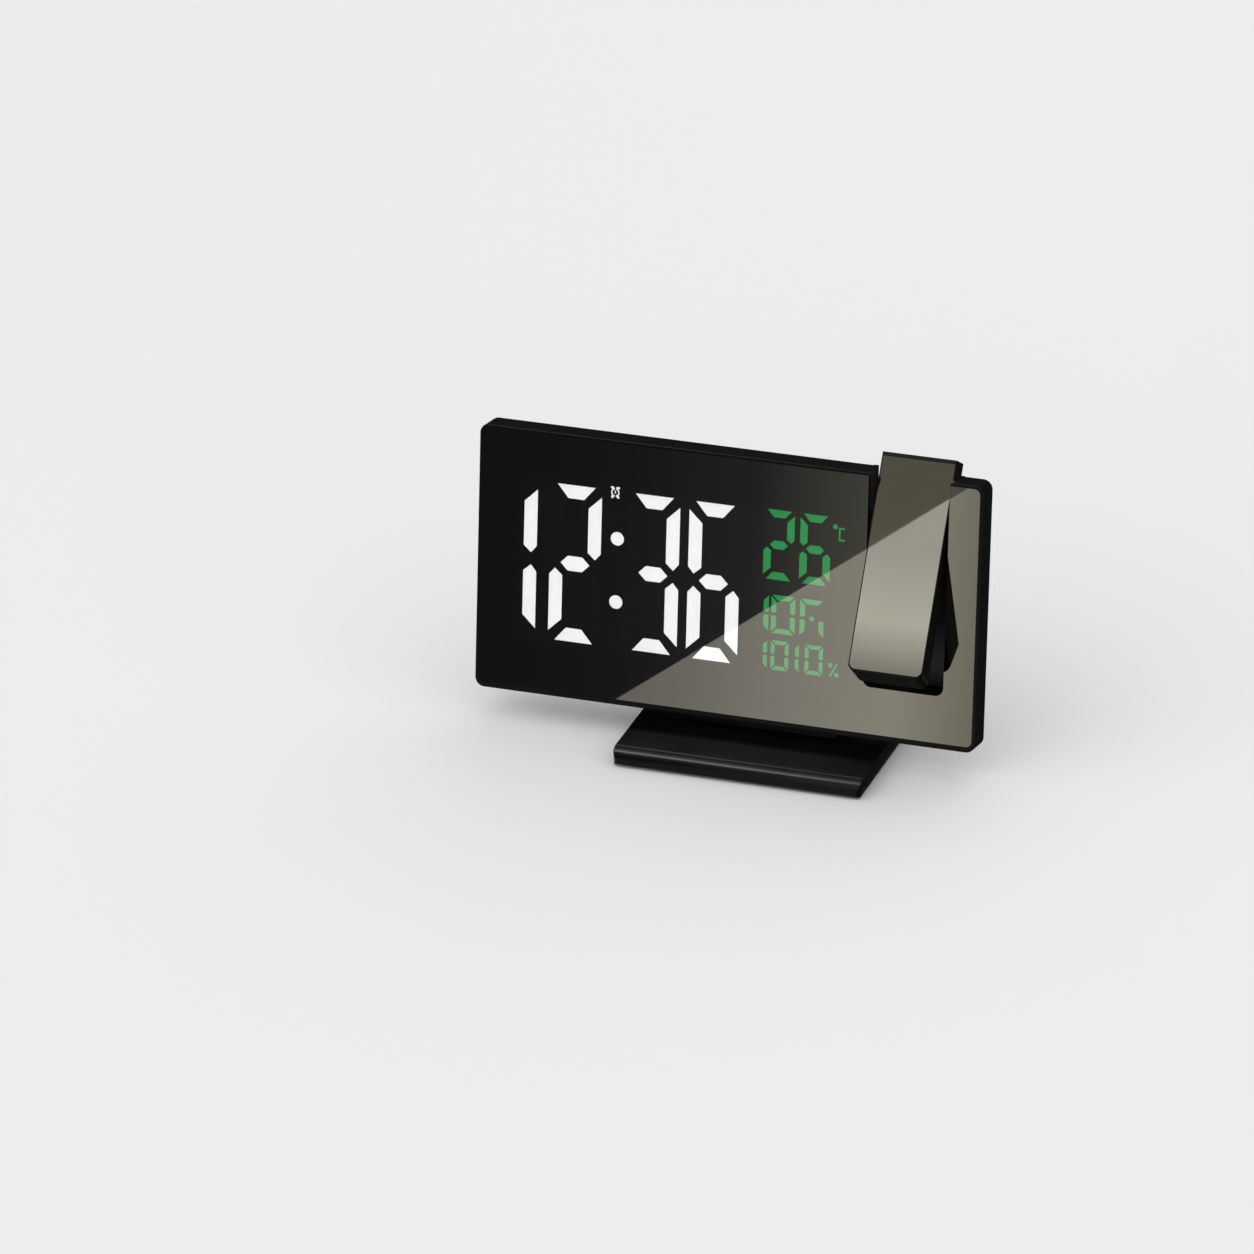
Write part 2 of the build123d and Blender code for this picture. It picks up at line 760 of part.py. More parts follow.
with BuildPart() as main_board:
    with BuildSketch(body_face(board_rear)):
        with Locations((main_board_x, main_board_height)):
            RectangleRounded(main_board_width, main_board_high - main_board_low, 1.5)
        with Locations(*board_posts):
            Circle(screw_radius, mode=Mode.SUBTRACT)
    extrude(amount=board_thickness)
save(main_board, "main_board")

with BuildPart() as clock_chip:
    with BuildSketch(body_face(board_rear)):
        with Locations(on_board(chip_offset)):
            Rectangle(*chip_size[:2])
    extrude(amount=-chip_size[2])
    chamfer(clock_chip.faces().sort_by(Axis(body_foot, back))[-1].edges(), 0.3)
save(clock_chip, "clock_chip")

with BuildPart() as quartz_crystal:
    with BuildSketch(body_face(board_rear)):
        with Locations(on_board(crystal_offset)):
            SlotOverall(*crystal_size[:2])
    extrude(amount=-crystal_size[2])
save(quartz_crystal, "quartz_crystal")

with BuildPart() as capacitors:
    with BuildSketch(body_face(board_rear)):
        with Locations(*capacitor_places):
            Circle(capacitor_radius)
    extrude(amount=-capacitor_length)
    fillet(capacitors.faces().sort_by(Axis(body_foot, back))[-2:].edges(), 0.4)
save(capacitors, "capacitors")

with BuildPart() as climate_sensor:
    with BuildSketch(body_face(board_rear)):
        with Locations(on_board(sensor_offset)):
            Rectangle(*sensor_size[:2])
    extrude(amount=-sensor_size[2])
save(climate_sensor, "climate_sensor")

with BuildPart() as buzzer:
    with BuildSketch(body_face(board_rear)):
        with Locations(buzzer_place):
            Circle(buzzer_radius)
    extrude(amount=-buzzer_thickness)
    with BuildSketch(body_face(board_rear + buzzer_thickness)):
        with Locations(buzzer_place):
            Circle(buzzer_hole_radius)
    extrude(amount=2.0, mode=Mode.SUBTRACT)
save(buzzer, "buzzer")

switch_top = board_rear + switch_thickness
with BuildPart() as tact_switches:
    with BuildSketch(body_face(board_rear)):
        with Locations(*button_places):
            Rectangle(switch_side, switch_side)
    extrude(amount=-switch_thickness)
    with BuildSketch(body_face(switch_top)):
        with Locations(*button_places):
            Circle(plunger_radius)
    extrude(amount=-plunger_length)
save(tact_switches, "tact_switches")

button_names = ("set_button", "alarm_button", "up_button", "down_button", "projector_button")
flange_rear = housing_floor - running_gap
flange_front = flange_rear - button_flange_thickness
stem_end = switch_top + plunger_length + button_travel + running_gap
for name, place in zip(button_names, button_places):
    with BuildPart() as button:
        with BuildSketch(body_face(housing_depth + button_proud)):
            with Locations(place):
                Circle(button_radius)
        extrude(amount=housing_depth + button_proud - flange_rear)
        fillet(button.faces().sort_by(Axis(body_foot, back))[-1].edges(), 0.4)
        with BuildSketch(body_face(flange_rear)):
            with Locations(place):
                Circle(button_flange_radius)
        extrude(amount=button_flange_thickness)
        with BuildSketch(body_face(flange_front)):
            with Locations(place):
                Circle(plunger_radius)
        extrude(amount=flange_front - stem_end)
    save(button, name)

inlet_rear = housing_depth - seat_gap
with BuildPart() as power_inlet:
    with BuildSketch(body_face(inlet_rear)):
        with Locations(power_inlet_place):
            Rectangle(power_inlet_side, power_inlet_side)
    extrude(amount=inlet_rear - board_rear)
    with BuildSketch(body_face(inlet_rear)):
        with Locations(power_inlet_place):
            Circle(power_inlet_bore_radius)
    extrude(amount=power_inlet_bore_depth, mode=Mode.SUBTRACT)
save(power_inlet, "power_inlet")

with BuildPart() as inlet_pin:
    with BuildSketch(body_face(inlet_rear - power_inlet_bore_depth)):
        with Locations(power_inlet_place):
            Circle(inlet_pin_radius)
    extrude(amount=1.2 - power_inlet_bore_depth)
    fillet(inlet_pin.faces().sort_by(Axis(body_foot, back))[-1].edges(), 0.3)
save(inlet_pin, "inlet_pin")

with BuildPart() as charging_port:
    with BuildSketch(body_face(inlet_rear)):
        with Locations(charging_port_place):
            RectangleRounded(*charging_port_size, 0.5)
    extrude(amount=inlet_rear - board_rear)
    with BuildSketch(body_face(inlet_rear)):
        with Locations(charging_port_place):
            Rectangle(*(side - 2 * charging_port_wall for side in charging_port_size))
    extrude(amount=inlet_rear - board_rear - 2 * charging_port_wall, mode=Mode.SUBTRACT)
save(charging_port, "charging_port")

with BuildPart() as charging_tongue:
    with BuildSketch(body_face(board_rear + 2 * charging_port_wall)):
        with Locations((charging_port_place[0], charging_port_place[1] + 0.2 * charging_port_size[1])):
            Rectangle(*charging_tongue_size)
    extrude(amount=board_rear + 4 * charging_port_wall - inlet_rear)
save(charging_tongue, "charging_tongue")

# ---------------------------------------------------------------- coin cell bay

lug_rear = housing_floor - seat_gap
lug_front = lug_rear - door_lug_thickness
cell_rear = lug_front - moving_gap
cell_front = cell_rear - cell_thickness
holder_front = cell_front - contact_thickness - cell_holder_floor

with BuildPart() as cell_holder:
    with BuildSketch(body_face(housing_floor)):
        with Locations(cell_place):
            Circle(cell_holder_radius)
    extrude(amount=housing_floor - holder_front)
    with BuildSketch(body_face(housing_floor)):
        with Locations(cell_place):
            Circle(door_lug_radius + moving_gap)
    extrude(amount=housing_floor - cell_rear, mode=Mode.SUBTRACT)
    with BuildSketch(body_face(cell_rear)):
        with Locations(cell_place):
            Circle(cell_radius + moving_gap)
    extrude(amount=cell_rear - cell_front + contact_thickness, mode=Mode.SUBTRACT)
save(cell_holder, "cell_holder")

with BuildPart() as cell_contact:
    with BuildSketch(body_face(cell_front)):
        with Locations(cell_place):
            SlotOverall(1.7 * cell_radius, 0.4 * cell_radius)
            SlotOverall(1.7 * cell_radius, 0.4 * cell_radius, rotation=90)
    extrude(amount=contact_thickness)
save(cell_contact, "cell_contact")

with BuildPart() as coin_cell:
    with BuildSketch(body_face(cell_rear)):
        with Locations(cell_place):
            Circle(cell_radius)
    extrude(amount=cell_thickness)
    with BuildSketch(body_face(cell_front)):
        with Locations(cell_place):
            Circle(cell_radius)
            Circle(0.86 * cell_radius, mode=Mode.SUBTRACT)
    extrude(amount=-0.5, mode=Mode.SUBTRACT)
save(coin_cell, "coin_cell")

with BuildPart() as battery_door:
    with BuildSketch(body_face(housing_depth)):
        with Locations(cell_place):
            Circle(door_radius)
    extrude(amount=housing_depth - lug_front)
    with BuildSketch(body_face(lug_rear)):
        with Locations(cell_place):
            Rectangle(3 * door_radius, door_lug_width)
            Circle(door_lug_radius, mode=Mode.INTERSECT)
    extrude(amount=door_lug_thickness)
    with BuildSketch(body_face(housing_depth)):
        with Locations(cell_place):
            SlotOverall(1.3 * door_radius, 2.0)
    extrude(amount=1.0, mode=Mode.SUBTRACT)
save(battery_door, "battery_door")

# ---------------------------------------------------------------- arm

arm_low = -arm_reach_down
arm_slope = arm_back * arm_depth - arm_up * arm_heel_drop
arm_half = arm_width / 2
arm_split = pivot_depth
arm_floor = arm_mirror_thickness + arm_wall
arm_ceiling = arm_depth - arm_wall
arm_inner_low = arm_low + arm_wall / 3
arm_inner_top = arm_reach_up - arm_wall
optic_depth = (arm_floor + arm_ceiling) / 2
arm_screw_places = [
    (side * arm_screw_side, height) for side in (-1, 1) for height in (arm_low + arm_screw_rise, arm_screw_over_pivot)
]
arm_post_radius = 2.5
arm_screw_seat = arm_ceiling - 0.8
pin_block_half = pivot_pin_radius + 1.4
pin_block_end = arm_half - pivot_pin_seat
guide_low = focus_tube_start + focus_collar_thickness + moving_gap
rim_front = arm_reach_up - focus_rim_thickness - 0.1


def arm_casing():
    """The arm's outer shape: a rounded foot sloping down to the rear, and rounded rear edges."""
    tall = 2 * arm_reach_up + arm_reach_down
    with BuildSketch(arm_face(0)) as outline:
        with Locations((0, arm_low + tall / 2)):
            RectangleRounded(arm_width, tall, arm_corner_radius)
    extrude(outline.sketch, amount=arm_slope.length, dir=arm_slope.normalized())
    with BuildSketch(arm_level(arm_low - arm_heel_drop)) as section:
        with Locations((0, arm_depth / 2 - pivot_depth)):
            block = Rectangle(arm_width, arm_depth)
        fillet(block.vertices().group_by(Axis.Y)[-1], arm_rear_radius)
    extrude(section.sketch, amount=arm_reach_up - arm_low + arm_heel_drop, mode=Mode.INTERSECT)


def arm_block(front, rear, low, high, left, right, mode=Mode.ADD):
    """A square block inside the arm, by its depths, its ends and its sides."""
    with BuildSketch(arm_face(rear)) as block:
        with Locations(((left + right) / 2, (low + high) / 2)):
            Rectangle(right - left, high - low)
    extrude(block.sketch, amount=rear - front, mode=mode)


def arm_bore(radius, low, high, mode=Mode.SUBTRACT):
    """A round bore or tube along the projector's axis."""
    with BuildSketch(arm_level(low)) as bore:
        with Locations((0, optic_depth - pivot_depth)):
            Circle(radius)
    extrude(bore.sketch, amount=high - low, mode=mode)


def arm_fittings(front, rear):
    """What both shells carry inside: the focus guide, the pin blocks and the screw posts."""
    arm_block(front, rear, guide_low, arm_inner_top, -focus_guide_width / 2, focus_guide_width / 2)
    for side in (-1, 1):
        ends = sorted((side * pin_block_end, side * (arm_half - arm_wall / 2)))
        arm_block(front, rear, -pin_block_half, pin_block_half, *ends)
    with BuildSketch(arm_face(rear)) as posts:
        with Locations(*arm_screw_places):
            Circle(arm_post_radius)
    extrude(posts.sketch, amount=rear - front)


def arm_openings():
    """What is cut through both shells: the focus ring's seat and the pin bores."""
    arm_bore(focus_tube_radius + running_gap, guide_low, rim_front)
    arm_bore(focus_rim_radius + 1.5 * moving_gap, rim_front - 2 * running_gap, arm_reach_up)
    with BuildSketch(arm_side(-arm_half)) as pin_bore:
        with Locations((pivot_depth, 0)):
            Circle(pivot_pin_radius)
    extrude(pin_bore.sketch, amount=arm_width, mode=Mode.SUBTRACT)


with BuildPart() as arm_front_shell:
    arm_casing()
    arm_block(arm_split, arm_depth, 2 * arm_low, 2 * arm_reach_up, -arm_width, arm_width, mode=Mode.SUBTRACT)
    inner_half = arm_half - arm_wall
    arm_block(arm_floor, arm_split, arm_inner_low, arm_inner_top, -inner_half, inner_half, mode=Mode.SUBTRACT)
    arm_fittings(arm_floor, arm_split)
    arm_openings()
    with BuildSketch(arm_face(arm_split)):
        with Locations(*arm_screw_places):
            Circle(screw_radius)
    extrude(amount=arm_split - arm_floor, mode=Mode.SUBTRACT)
    mirror_low = arm_low + arm_bottom_border
    mirror_high = arm_reach_up - arm_top_border
    mirror_half = arm_half - arm_side_border
    arm_block(0, arm_mirror_thickness, mirror_low, mirror_high, -mirror_half, mirror_half, mode=Mode.SUBTRACT)
save(arm_front_shell, "arm_front_shell")

with BuildPart() as arm_rear_shell:
    arm_casing()
    arm_block(0, arm_split, 2 * arm_low, 2 * arm_reach_up, -arm_width, arm_width, mode=Mode.SUBTRACT)
    with BuildSketch(arm_level(arm_inner_low)):
        with Locations((0, (arm_split + arm_ceiling) / 2 - pivot_depth)):
            hollow = Rectangle(2 * inner_half, arm_ceiling - arm_split)
        fillet(hollow.vertices().group_by(Axis.Y)[-1], arm_rear_radius - arm_wall)
    extrude(amount=arm_inner_top - arm_inner_low, mode=Mode.SUBTRACT)
    arm_fittings(arm_split, arm_ceiling)
    arm_openings()
    with BuildSketch(arm_face(arm_depth)):
        with Locations(*arm_screw_places):
            Circle(screw_radius + seat_gap)
    extrude(amount=arm_depth - arm_split, mode=Mode.SUBTRACT)
    with BuildSketch(arm_face(arm_depth)):
        with Locations(*arm_screw_places):
            Circle(screw_head_radius + seat_gap)
    extrude(amount=arm_depth - arm_screw_seat, mode=Mode.SUBTRACT)
save(arm_rear_shell, "arm_rear_shell")

with BuildPart() as arm_mirror:
    with BuildSketch(arm_face(arm_mirror_thickness)):
        with Locations((0, (mirror_low + mirror_high) / 2)):
            pane = Rectangle(2 * mirror_half - seat_gap, mirror_high - mirror_low - seat_gap)
        fillet(pane.vertices().group_by(Axis.Y)[0], arm_corner_radius - arm_side_border)
    extrude(amount=arm_mirror_thickness)
save(arm_mirror, "arm_mirror")

with BuildPart() as arm_screws:
    add_screws(arm_face(arm_screw_seat), arm_screw_places, arm_screw_seat - arm_floor - 0.4)
save(arm_screws, "arm_screws")

# ---------------------------------------------------------------- pivot

wall_left = slot_left - slot_wall - pivot_boss_depth
wall_right = slot_right + slot_wall + pivot_boss_depth


def pivot_disc(start, end, radius, mode=Mode.ADD):
    """A round piece on the pivot axis between two places across the body."""
    with BuildSketch(body_side(start, pivot_height, pivot_depth)) as disc:
        Circle(radius)
    extrude(disc.sketch, amount=end - start, mode=mode)


with BuildPart() as pivot_pin_left:
    inner_end = slot_center_x - pin_block_end
    pivot_disc(wall_left, inner_end, pivot_pin_radius)
    pivot_disc(inner_end, inner_end + pivot_pin_collar, pivot_pin_radius + 0.8)
    pivot_disc(wall_left, inner_end + pivot_pin_collar, pivot_lead_hole_radius, mode=Mode.SUBTRACT)
save(pivot_pin_left, "pivot_pin_left")

with BuildPart() as pivot_pin_right:
    inner_end = slot_center_x + pin_block_end
    pivot_disc(inner_end, wall_right, pivot_pin_radius)
    pivot_disc(inner_end - pivot_pin_collar, inner_end, pivot_pin_radius + 0.8)
save(pivot_pin_right, "pivot_pin_right")

with BuildPart() as pivot_bushes:
    for outer, face, inner in (
        (wall_left, slot_left, slot_left + bush_flange_thickness),
        (wall_right, slot_right, slot_right - bush_flange_thickness),
    ):
        pivot_disc(outer, face, bush_radius)
        pivot_disc(face, inner, bush_radius + bush_flange_width)
    pivot_disc(wall_left, wall_right, pivot_pin_radius + running_gap, mode=Mode.SUBTRACT)
save(pivot_bushes, "pivot_bushes")

with BuildPart() as friction_washer:
    washer_start = slot_center_x + arm_half + running_gap
    pivot_disc(washer_start, washer_start + friction_washer_thickness, bush_radius + bush_flange_width)
    pivot_disc(washer_start, wall_right, pivot_pin_radius + running_gap, mode=Mode.SUBTRACT)
save(friction_washer, "friction_washer")

# ---------------------------------------------------------------- projector

board_low = arm_board_middle - arm_board_size[1] / 2
board_high = arm_board_middle + arm_board_size[1] / 2
arm_board_rear = arm_floor + running_gap + arm_board_thickness

with BuildPart() as projector_board:
    with BuildSketch(arm_face(arm_board_rear)):
        with Locations((0, arm_board_middle)):
            RectangleRounded(*arm_board_size, 1.0)
    extrude(amount=arm_board_thickness)
save(projector_board, "projector_board")

with BuildPart() as driver_chip:
    with BuildSketch(arm_face(arm_board_rear)):
        with Locations((0, arm_board_middle)):
            Rectangle(*driver_chip_size[:2])
    extrude(amount=-driver_chip_size[2])
save(driver_chip, "driver_chip")

with BuildPart() as projector_led:
    led_low = barrel_start - 2 * running_gap - projector_led_length
    arm_bore(projector_led_radius, led_low, led_low + projector_led_length, mode=Mode.ADD)
    fillet(projector_led.faces().sort_by(Axis(body_foot, arm_up))[-1].edges(), 0.8 * projector_led_radius)
    arm_block(arm_board_rear, optic_depth, led_low, board_high, -projector_led_radius, projector_led_radius)
save(projector_led, "projector_led")

barrel_end = barrel_start + barrel_length
with BuildPart() as optics_barrel:
    half_barrel = barrel_side / 2
    arm_block(optic_depth - half_barrel, optic_depth + half_barrel, barrel_start, barrel_end, -half_barrel, half_barrel)
    arm_bore(lens_radius - 0.5, barrel_start, barrel_end)
    arm_bore(lens_radius, barrel_start, barrel_start + lens_thickness)
    arm_bore(lens_radius, barrel_end - image_gate_thickness, barrel_end)
save(optics_barrel, "optics_barrel")

with BuildPart() as condenser_lens:
    arm_bore(lens_radius, barrel_start, barrel_start + lens_thickness, mode=Mode.ADD)
    fillet(condenser_lens.faces().sort_by(Axis(body_foot, arm_up))[-1].edges(), 0.7 * lens_thickness)
save(condenser_lens, "condenser_lens")

with BuildPart() as image_gate:
    arm_bore(lens_radius, barrel_end - image_gate_thickness, barrel_end, mode=Mode.ADD)
save(image_gate, "image_gate")

tube_bore = focus_tube_radius - focus_tube_wall
rim_end = arm_reach_up - running_gap
with BuildPart() as focus_ring:
    arm_bore(focus_tube_radius, focus_tube_start, rim_end, mode=Mode.ADD)
    arm_bore(focus_collar_radius, focus_tube_start, focus_tube_start + focus_collar_thickness, mode=Mode.ADD)
    arm_bore(focus_rim_radius, rim_front, rim_end, mode=Mode.ADD)
    arm_bore(tube_bore, focus_tube_start, rim_end)
    with BuildSketch(arm_level(rim_end)):
        with Locations((0, optic_depth - pivot_depth)):
            with PolarLocations(focus_rim_radius, 12):
                Circle(0.3)
    extrude(amount=-0.8, mode=Mode.SUBTRACT)
save(focus_ring, "focus_ring")

with BuildPart() as projection_lens:
    arm_bore(tube_bore, rim_end - 1.0 - lens_thickness, rim_end - 1.0, mode=Mode.ADD)
    fillet(projection_lens.faces().sort_by(Axis(body_foot, arm_up))[-1].edges(), 0.6 * lens_thickness)
save(projection_lens, "projection_lens")

# ---------------------------------------------------------------- base

base_low = foot_proud
base_half_depth = base_depth / 2
hollow_top = base_top - base_wall


def base_places(inset):
    """Four places under the base, drawn in from its sides and ends."""
    side_reach, end_reach = base_width / 2 - inset[0], base_half_depth - inset[1]
    return [(base_center_x + side * side_reach, end * end_reach) for side in (-1, 1) for end in (-1, 1)]


with BuildPart() as base_shell:
    with BuildSketch(Plane.YZ.offset(base_center_x - base_width / 2)):
        with Locations((0, (base_low + base_top) / 2)):
            Rectangle(base_depth, base_thickness)
        fillet(vertices().group_by(Axis.Y)[-1].sort_by(Axis.X)[0], base_nose_radius)
        fillet(vertices().group_by(Axis.Y)[0].sort_by(Axis.X)[0], base_lip_radius)
    extrude(amount=base_width)
    with BuildSketch(Plane.XY):
        with Locations((base_center_x, 0)):
            RectangleRounded(base_width, base_depth, base_corner_radius)
    extrude(amount=2 * base_top, mode=Mode.INTERSECT)
    # Neck up to the underside of the body and of its rear housing
    neck_left = base_center_x - neck_width / 2
    step_depth = body_depth + cover_gap
    neck_rear_depth = housing_depth - housing_edge_radius
    with BuildSketch(body_side(neck_left, 0, 0)):
        Polygon(
            (neck_front_depth, -cover_gap),
            (neck_front_depth, -body_gap - base_wall / 2),
            (neck_rear_depth, neck_rear_depth * tan(lean) - body_gap - base_wall / 2),
            (neck_rear_depth, housing_bottom - cover_gap),
            (step_depth, housing_bottom - cover_gap),
            (step_depth, -cover_gap),
            align=None,
        )
    extrude(amount=neck_width)
    # Hollow of the base and of the neck
    hollow_front = base_nose_wall - base_half_depth
    hollow_rear = base_half_depth - base_wall
    with BuildSketch(Plane.XY.offset(base_low)):
        with Locations((base_center_x, (hollow_front + hollow_rear) / 2)):
            Rectangle(base_width - 2 * base_wall, hollow_rear - hollow_front)
    extrude(amount=hollow_top - base_low, mode=Mode.SUBTRACT)
    with BuildSketch(body_side(neck_left + base_wall, 0, 0)):
        Polygon(
            (neck_front_depth + base_wall, -cover_gap - base_wall),
            (neck_front_depth + base_wall, -body_gap - base_thickness),
            (neck_rear_depth - base_wall, -body_gap),
            (neck_rear_depth - base_wall, neck_roof),
            (step_depth + base_wall, neck_roof),
            (step_depth + base_wall, -cover_gap - base_wall),
            align=None,
        )
    extrude(amount=neck_width - 2 * base_wall, mode=Mode.SUBTRACT)
    with BuildSketch(body_level(0, neck_roof, 0)):
        with Locations(*neck_screw_places):
            Circle(screw_radius + seat_gap)
    extrude(amount=2 * base_wall, mode=Mode.SUBTRACT)
    # Posts for the base screws
    base_screw_places = base_places(base_screw_inset)
    plate_top = base_low + base_plate_thickness
    with BuildSketch(Plane.XY.offset(hollow_top + base_wall / 2)):
        with Locations(*base_screw_places):
            Circle(post_radius)
    extrude(amount=plate_top + running_gap - hollow_top - base_wall / 2)
    with BuildSketch(Plane.XY.offset(plate_top)):
        with Locations(*base_screw_places):
            Circle(screw_radius)
    extrude(amount=hollow_top - plate_top, mode=Mode.SUBTRACT)
save(base_shell, "base_shell")

base_screw_head = base_plate_thickness / 2
foot_places = base_places(foot_inset)

with BuildPart() as base_plate:
    with BuildSketch(Plane.XY.offset(base_low)):
        with Locations((base_center_x, (hollow_front + hollow_rear) / 2)):
            Rectangle(base_width - 2 * base_wall - 2 * cover_gap, hollow_rear - hollow_front - 2 * cover_gap)
        with Locations(*base_screw_places):
            Circle(screw_radius + seat_gap, mode=Mode.SUBTRACT)
    extrude(amount=base_plate_thickness)
    with BuildSketch(Plane.XY.offset(base_low)):
        with Locations(*base_screw_places):
            Circle(screw_head_radius + seat_gap)
    extrude(amount=base_screw_head, mode=Mode.SUBTRACT)
    with BuildSketch(Plane.XY.offset(base_low)):
        with Locations(*foot_places):
            Circle(foot_radius)
    extrude(amount=foot_recess, mode=Mode.SUBTRACT)
save(base_plate, "base_plate")

with BuildPart() as base_screws:
    add_screws(Plane.XY.offset(base_low + base_screw_head), base_screw_places, base_screw_length, base_screw_head)
save(base_screws, "base_screws")

with BuildPart() as ballast_plate:
    with BuildSketch(Plane.XY.offset(plate_top)):
        with Locations((base_center_x, ballast_front_margin + ballast_depth / 2 - base_half_depth)):
            RectangleRounded(base_width - 2 * ballast_side_margin, ballast_depth, 2.0)
    extrude(amount=ballast_thickness)
save(ballast_plate, "ballast_plate")

with BuildPart() as rubber_feet:
    with BuildSketch(Plane.XY):
        with Locations(*foot_places):
            Circle(foot_radius)
    extrude(amount=foot_proud + foot_recess)
save(rubber_feet, "rubber_feet")
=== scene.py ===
"""Looks of a projection alarm clock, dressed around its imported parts.

Every size is in metres, in the frame of the parts: +Z up, the clock faces -Y.
"""

import json
import logging
import math
from dataclasses import dataclass
from enum import Enum
from typing import Any, Dict, Sequence, Tuple

import bpy
from mathutils import Matrix, Vector

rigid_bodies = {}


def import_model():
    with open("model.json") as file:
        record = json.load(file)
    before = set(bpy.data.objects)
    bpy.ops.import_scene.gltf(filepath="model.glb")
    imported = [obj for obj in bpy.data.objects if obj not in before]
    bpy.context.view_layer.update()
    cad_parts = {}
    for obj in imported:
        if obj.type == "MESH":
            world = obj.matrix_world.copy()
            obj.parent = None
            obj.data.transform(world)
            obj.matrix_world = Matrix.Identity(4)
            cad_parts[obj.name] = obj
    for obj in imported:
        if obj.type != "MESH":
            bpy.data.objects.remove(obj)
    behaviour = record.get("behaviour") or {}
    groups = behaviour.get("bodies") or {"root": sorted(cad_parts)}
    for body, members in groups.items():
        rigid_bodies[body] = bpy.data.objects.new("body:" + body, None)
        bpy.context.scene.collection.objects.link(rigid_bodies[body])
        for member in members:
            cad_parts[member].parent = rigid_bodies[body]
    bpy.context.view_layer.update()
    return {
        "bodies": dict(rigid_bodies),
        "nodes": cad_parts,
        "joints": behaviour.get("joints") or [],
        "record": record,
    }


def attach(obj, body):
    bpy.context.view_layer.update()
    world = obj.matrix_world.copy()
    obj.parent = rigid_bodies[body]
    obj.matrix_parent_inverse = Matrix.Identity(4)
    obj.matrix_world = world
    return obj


logging.basicConfig(level=logging.INFO, format="%(name)s: %(message)s")
LOG = logging.getLogger("projection_clock")

Point = Tuple[float, float, float]
Colour = Tuple[float, float, float, float]
Tones = Tuple[Tuple[float, Colour], ...]
MM = 0.001


class Run(Enum):
    """The direction in which a card's light changes."""

    ACROSS = "X"
    INWARD = "Y"
    UPWARD = "Z"


# ---------------------------------------------------------------- places of the leaning body


@dataclass(frozen=True)
class LeaningBody:
    """Where the clock's body stands: it leans back on its base.

    Attributes:
        lean: How far the body leans back, in degrees.
        foot: The middle of the body's lower front edge.
    """

    lean: float = 12.0
    foot: Point = (0.0, -9.0 * MM, 11.4 * MM)

    def up(self) -> Vector:
        """The direction up the body."""
        return Vector((0.0, math.sin(math.radians(self.lean)), math.cos(math.radians(self.lean))))

    def back(self) -> Vector:
        """The direction from the front of the body to its rear."""
        return Vector((0.0, math.cos(math.radians(self.lean)), -math.sin(math.radians(self.lean))))

    def place(self, right: float, height: float, depth: float) -> Vector:
        """A place on the body.

        Args:
            right: How far to the right of the middle, in millimetres.
            height: How far up the body, in millimetres.
            depth: How far behind the front, in millimetres.

        Returns:
            The place, in metres.
        """
        offset = self.up() * height + self.back() * depth + Vector((right, 0.0, 0.0))
        return Vector(self.foot) + offset * MM

    def rear_turn(self) -> Matrix:
        """The turn that lays a flat shape on the rear wall, its top up and its face to the rear."""
        across, up, back = Vector((-1.0, 0.0, 0.0)), self.up(), self.back()
        return Matrix((across, up, back)).transposed().to_4x4()


BODY = LeaningBody()


@dataclass(frozen=True)
class MirrorPane:
    """One of the two mirrors, by its place and the way it faces.

    Attributes:
        middle: A place on its front, in metres.
        up: The direction up the pane.
        facing: The direction it faces.
    """

    middle: Vector
    up: Vector
    facing: Vector

    def place(self, right: float, height: float) -> Vector:
        """A place on the pane's front, in metres, from millimetres beside and above its middle."""
        return self.middle + (self.up * height + Vector((right, 0.0, 0.0))) * MM

    def shows(self, eye: Vector, right: float, height: float, card_y: float) -> Point:
        """Where the line of sight that meets the pane at a place runs on to.

        Args:
            eye: Where the pane is seen from.
            right: The place on the pane, in millimetres to the right.
            height: The place on the pane, in millimetres up.
            card_y: The upright plane on which the line ends.

        Returns:
            The end of the line, in metres.
        """
        spot = self.place(right, height)
        sight = (spot - eye).normalized()
        bounced = sight - self.facing * (2.0 * sight.dot(self.facing))
        return tuple(spot + bounced * ((card_y - spot.y) / bounced.y))


def display_pane() -> MirrorPane:
    """The large mirror, from the middle of the body's lower front edge."""
    return MirrorPane(Vector(BODY.foot), BODY.up(), -BODY.back())


def arm_pane(hinge: Point = (67.4, 78.2, 5.5), opening: float = 23.0) -> MirrorPane:
    """The arm's mirror as it stands, from the place on it that lies over the hinge.

    Args:
        hinge: The hinge in the leaning body, in millimetres.
        opening: How far the arm is turned, in degrees.

    Returns:
        The pane.
    """
    turn = math.radians(opening)
    back = BODY.back() * math.cos(turn) - BODY.up() * math.sin(turn)
    up = BODY.up() * math.cos(turn) + BODY.back() * math.sin(turn)
    return MirrorPane(BODY.place(*hinge) - back * hinge[2] * MM, up, -back)


# ---------------------------------------------------------------- finishes


def grey(tone: float) -> Colour:
    """A plain grey."""
    return (tone, tone, tone, 1.0)


def shade(colour: Colour, share: Point) -> Colour:
    """A colour with each of its channels scaled by a share."""
    return tuple(channel * part for channel, part in zip(colour, share)) + (1.0,)


def new_material(name: str) -> Tuple[bpy.types.Material, Any, Any]:
    """Start a node material with one Principled shader.

    Args:
        name: The material's name.

    Returns:
        The material, its node tree and its shader node.
    """
    material = bpy.data.materials.new(name)
    material.use_nodes = True
    tree = material.node_tree
    shader = next(node for node in tree.nodes if node.type == "BSDF_PRINCIPLED")
    return material, tree, shader


